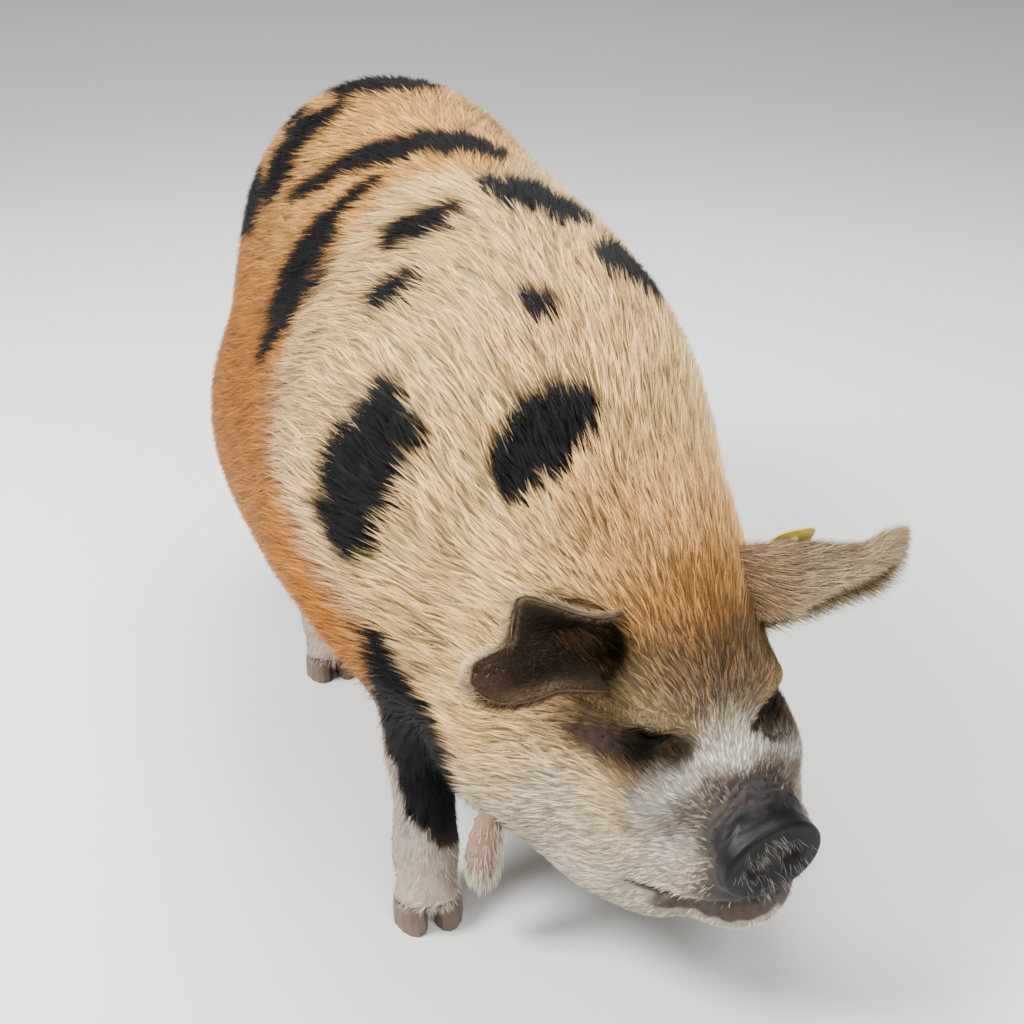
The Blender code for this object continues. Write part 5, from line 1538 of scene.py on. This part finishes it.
def make_wattle(word, side, chart, hair):
    """A wrinkled tassel of skin under the jowl and the pale hair that hangs round it."""
    root = press(whole_form, head_point(*on_side(WATTLE_AT, side))[None], 0.0, 6)[0]
    end = root + vec(side * 0.010, -0.004, -0.062)
    n = 26
    path = smooth_path([root + vec(0, 0, 0.016), (root + end) / 2 + vec(side * 0.005, 0, 0), end], n)
    t = np.linspace(0, 1, n)
    radii = 0.0105 + 0.0045 * np.sin(t * math.pi) ** 2 + 0.0006 * np.sin(t * 46) - 0.0095 * ease(t, 0.82, 1.0)
    points, faces = tube(path, radii, 26)
    points = points + 0.0009 * ripples(points, 0.008, 71)
    wattle = put(f"{word}_wattle_skin", points, faces, wattle_skin())
    count = WATTLE_HAIRS
    t = RNG.uniform(0.06, 0.97, count)
    out = round_ways(count)
    middle = path[(t * (n - 1)).astype(int)]
    roots = middle + out * (np.interp(t, np.linspace(0, 1, n), radii) * 0.93)[:, None]
    way = unit(out * 0.22 + vec(0, 0, -1) + RNG.normal(0, 0.09, (count, 3)))
    long = RNG.uniform(0.014, 0.034, count) * (1 - 0.35 * t)
    colour = between(CHALK, STRAW, RNG.uniform(0.0, 0.8, count))
    colour = colour * RNG.uniform(0.6, 1.0, count)[:, None]
    name = f"{word}_wattle_hair"
    return wattle, hanging(name, roots, way, out, long, LOOSE_WIDE, colour, chart, hair, steps=2)


def tail_tassel(chart, hair):
    """Hair round the lower part of the tail, longest at its tip."""
    count = TAIL_HAIRS
    t = RNG.uniform(0, 1, count) ** 0.7
    spot_on = smooth_path(tail_line, 60)[(10 + t * 49).astype(int)]
    out = round_ways(count)
    roots = spot_on + out * (0.0110 - 0.0075 * t)[:, None]
    way = unit(out * 0.22 + vec(0, 0, -1) + RNG.normal(0, 0.07, (count, 3)))
    long = (0.018 + 0.040 * t) * RNG.uniform(0.7, 1.1, count)
    colour = between(STRAW, GINGER, RNG.uniform(0, 0.7, count))
    return hanging("tail_hair", roots, way, out, long, TAIL_WIDE, colour, chart, hair)


def snout_bristles(chart, hair):
    """Short fine bristles in clumps on the face of the snout disc."""
    count = SNOUT_HAIRS
    turn, share = RNG.uniform(0, 2 * math.pi, count), np.sqrt(RNG.uniform(0, 1, count))
    x, z = np.cos(turn) * share * DISC_WIDE * 0.86, np.sin(turn) * share * DISC_TALL * 0.86
    guess = np.stack([x, np.full(count, DISC_AT[1] - 0.010), DISC_AT[2] + z], 1)
    clump = ripple(guess * vec(1.6, 1, 1), 0.011, 68) + 0.25 * RNG.normal(size=count)
    kept = clump > 0.10 + 0.9 * ease(share, 0.7, 1.0)
    guess, x = guess[kept], x[kept]
    count = len(guess)
    roots = press(skin_form, in_pig(guess), 0.0, 4)
    out = way_out(roots)
    down = np.stack([x * 6 + 0.5 * ripple(guess, 0.02, 69), np.full(count, -0.7), np.full(count, -0.8)], 1)
    way = unit(down @ HEAD_TURN.T + RNG.normal(0, 0.28, (count, 3)))
    long = RNG.uniform(0.004, 0.011, count)
    rows = np.stack([roots - out * 0.0005, roots + way * (long * 0.5)[:, None] + out * 0.0016,
                     roots + way * long[:, None] + out * 0.0016], 1)
    colour = between(SNOUT_GREY, CHALK, 0.75 * RNG.uniform(size=count) ** 1.6)
    return blades("snout_bristles", rows, way, out, np.full(count, BRISTLE_WIDE), colour, chart, hair)


# Where one piece of the coat ends and the next one starts
LEG_TOP, HEAD_BACK, FACE_BACK, NECK_BACK, HIND_FROM = 0.235, 0.115, 0.035, -0.20, 0.10


def grow_coat(places, faces, flesh_count, chart, hair):
    """The coat in pieces by parts of the body."""
    faces = faces[:flesh_count]
    a, b, c = (places[faces[:, k]] for k in range(3))
    area = np.linalg.norm(np.cross(b - a, c - a), axis=1) / 2
    middle = (a + b + c) / 3
    q = on_head(middle)
    bare = bare_share(q)
    area = area * (1 - bare) ** 2 * (middle[:, 2] > HOOF_TALL - HOOF_HEEL_DROP)
    limb = (middle[:, 2] < LEG_TOP) & (middle[:, 1] > -0.45) & (q[:, 1] > 0.13)
    head = (q[:, 1] < HEAD_BACK) & ~limb
    neck = (q[:, 1] >= HEAD_BACK) & (middle[:, 1] < NECK_BACK) & ~limb
    trunk = ~limb & ~head & ~neck
    right, hind = middle[:, 0] < 0, middle[:, 1] >= HIND_FROM
    fine = 1 + 2.2 * (1 - ease(q[:, 1], -0.05, 0.06))
    low = 1 + 2.4 * (1 - ease(middle[:, 2], 0.10, 0.20))
    parts = {
        "coat_legs": (limb, low),
        "coat_face": (head & (q[:, 1] < FACE_BACK), fine),
        "coat_head": (head & (q[:, 1] >= FACE_BACK), 1.0),
        "coat_neck": (neck, 1.0),
        "coat_shoulder_right": (trunk & right & ~hind, 1.0),
        "coat_shoulder_left": (trunk & ~right & ~hind, 1.0),
        "coat_hind_right": (trunk & right & hind, 1.0),
        "coat_hind_left": (trunk & ~right & hind, 1.0),
    }
    return [grow(name, places, faces, chart, area * where * weight, COAT_LOCKS, hair)
            for name, (where, weight) in parts.items()]


# Eyes, wattles and the carried-over nodes

def make_eye(word, side, finish):
    bm = bmesh.new()
    bmesh.ops.create_icosphere(bm, subdivisions=4, radius=EYE_RADIUS)
    points = np.array([v.co for v in bm.verts]) + eye_centre(side)
    faces = np.array([[v.index for v in f.verts] for f in bm.faces])
    bm.free()
    return put(f"{word}_eyeball", points, faces, finish)


FLOOR_WIDE = 32.0


def make_floor():
    half = FLOOR_WIDE / 2
    points = [(-half, -half, 0), (half, -half, 0), (half, half, 0), (-half, half, 0)]
    return put("floor", np.array(points) - SHIFT, [(0, 1, 2, 3)], floor_finish(), smooth=False)


# Lamps: name, place, the place that each points at, width and power; the last one is for the far floor
LAMPS = (
    ("key", (-2.0, -0.1, 2.5), (0, 0.0, 0.40), 1.1, 192),
    ("front", (0.6, -2.4, 2.2), (0, -0.3, 0.30), 1.4, 62),
    ("top", (0.3, 0.9, 2.8), (0, 0, 0.4), 1.6, 112),
    ("far floor", (0, 6.0, 6.0), (0, 6.0, 0), 6.0, 170),
)
ROOM_COLOUR, ROOM_LIGHT = (0.92, 0.94, 0.96), 0.50


def make_lights():
    """Soft lamps from the pig's right, from the front and from above, and a pale room."""
    for name, place, aim, size, power in LAMPS:
        light = bpy.data.lights.new(name, "AREA")
        light.size = size
        light.energy = power
        obj = bpy.data.objects.new(name, light)
        obj.location = place
        obj.rotation_mode = "QUATERNION"
        obj.rotation_quaternion = (Vector(aim) - Vector(place)).to_track_quat("-Z", "Y")
        bpy.context.scene.collection.objects.link(obj)
    world = bpy.data.worlds.new("room")
    world.use_nodes = True
    sky = world.node_tree.nodes["Background"]
    sky.inputs["Color"].default_value = (*ROOM_COLOUR, 1)
    sky.inputs["Strength"].default_value = ROOM_LIGHT
    bpy.context.scene.world = world


def make_camera():
    """The photo's camera, with its focal length in pixels turned into millimetres."""
    data = bpy.data.cameras.new("camera")
    data.sensor_width = 36.0
    data.lens = FOCAL / IMAGE * data.sensor_width
    data.clip_start, data.clip_end = 0.05, 50
    camera = bpy.data.objects.new("camera", data)
    camera.location = vec(*CAMERA_AT) + SHIFT
    camera.rotation_euler = (math.radians(90 - CAMERA_DOWN), 0, -math.radians(CAMERA_HEADING))
    bpy.context.scene.collection.objects.link(camera)
    bpy.context.scene.camera = camera


def main():
    skin, places, faces, flesh_count = make_skin()
    chart = unwrapped(skin)
    hair = coat_hair()
    coat = grow_coat(places, faces, flesh_count, chart, hair)
    coat += [ear_hair(word, chart, hair) for word in EARS]
    coat += [brow_hair(chart, hair), tail_tassel(chart, hair), snout_bristles(chart, hair)]
    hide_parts("torso", "neck", "head", "front_right_leg", "front_left_leg", "hind_right_leg",
                "hind_left_leg", "right_ear", "left_ear", "tail")
    for piece in [skin] + coat:
        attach(piece, "root")
    gloss = eye_gloss()
    for word, side in (("right", -1), ("left", 1)):
        eye = make_eye(word, side, gloss)
        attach(eye, "root")
        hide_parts(f"{word}_eye")
        wattle, fringe = make_wattle(word, side, chart, hair)
        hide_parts(f"{word}_wattle")
        for piece in (wattle, fringe):
            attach(piece, "root")
    horn, plastic = hoof_horn(), tag_plastic()
    for name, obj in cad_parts.items():
        if name.endswith(("hoof", "dewclaw")):
            obj.material_slots[0].material = horn
        if name == "ear_tag":
            obj.material_slots[0].material = plastic
    make_floor()
    make_lights()
    make_camera()


main()
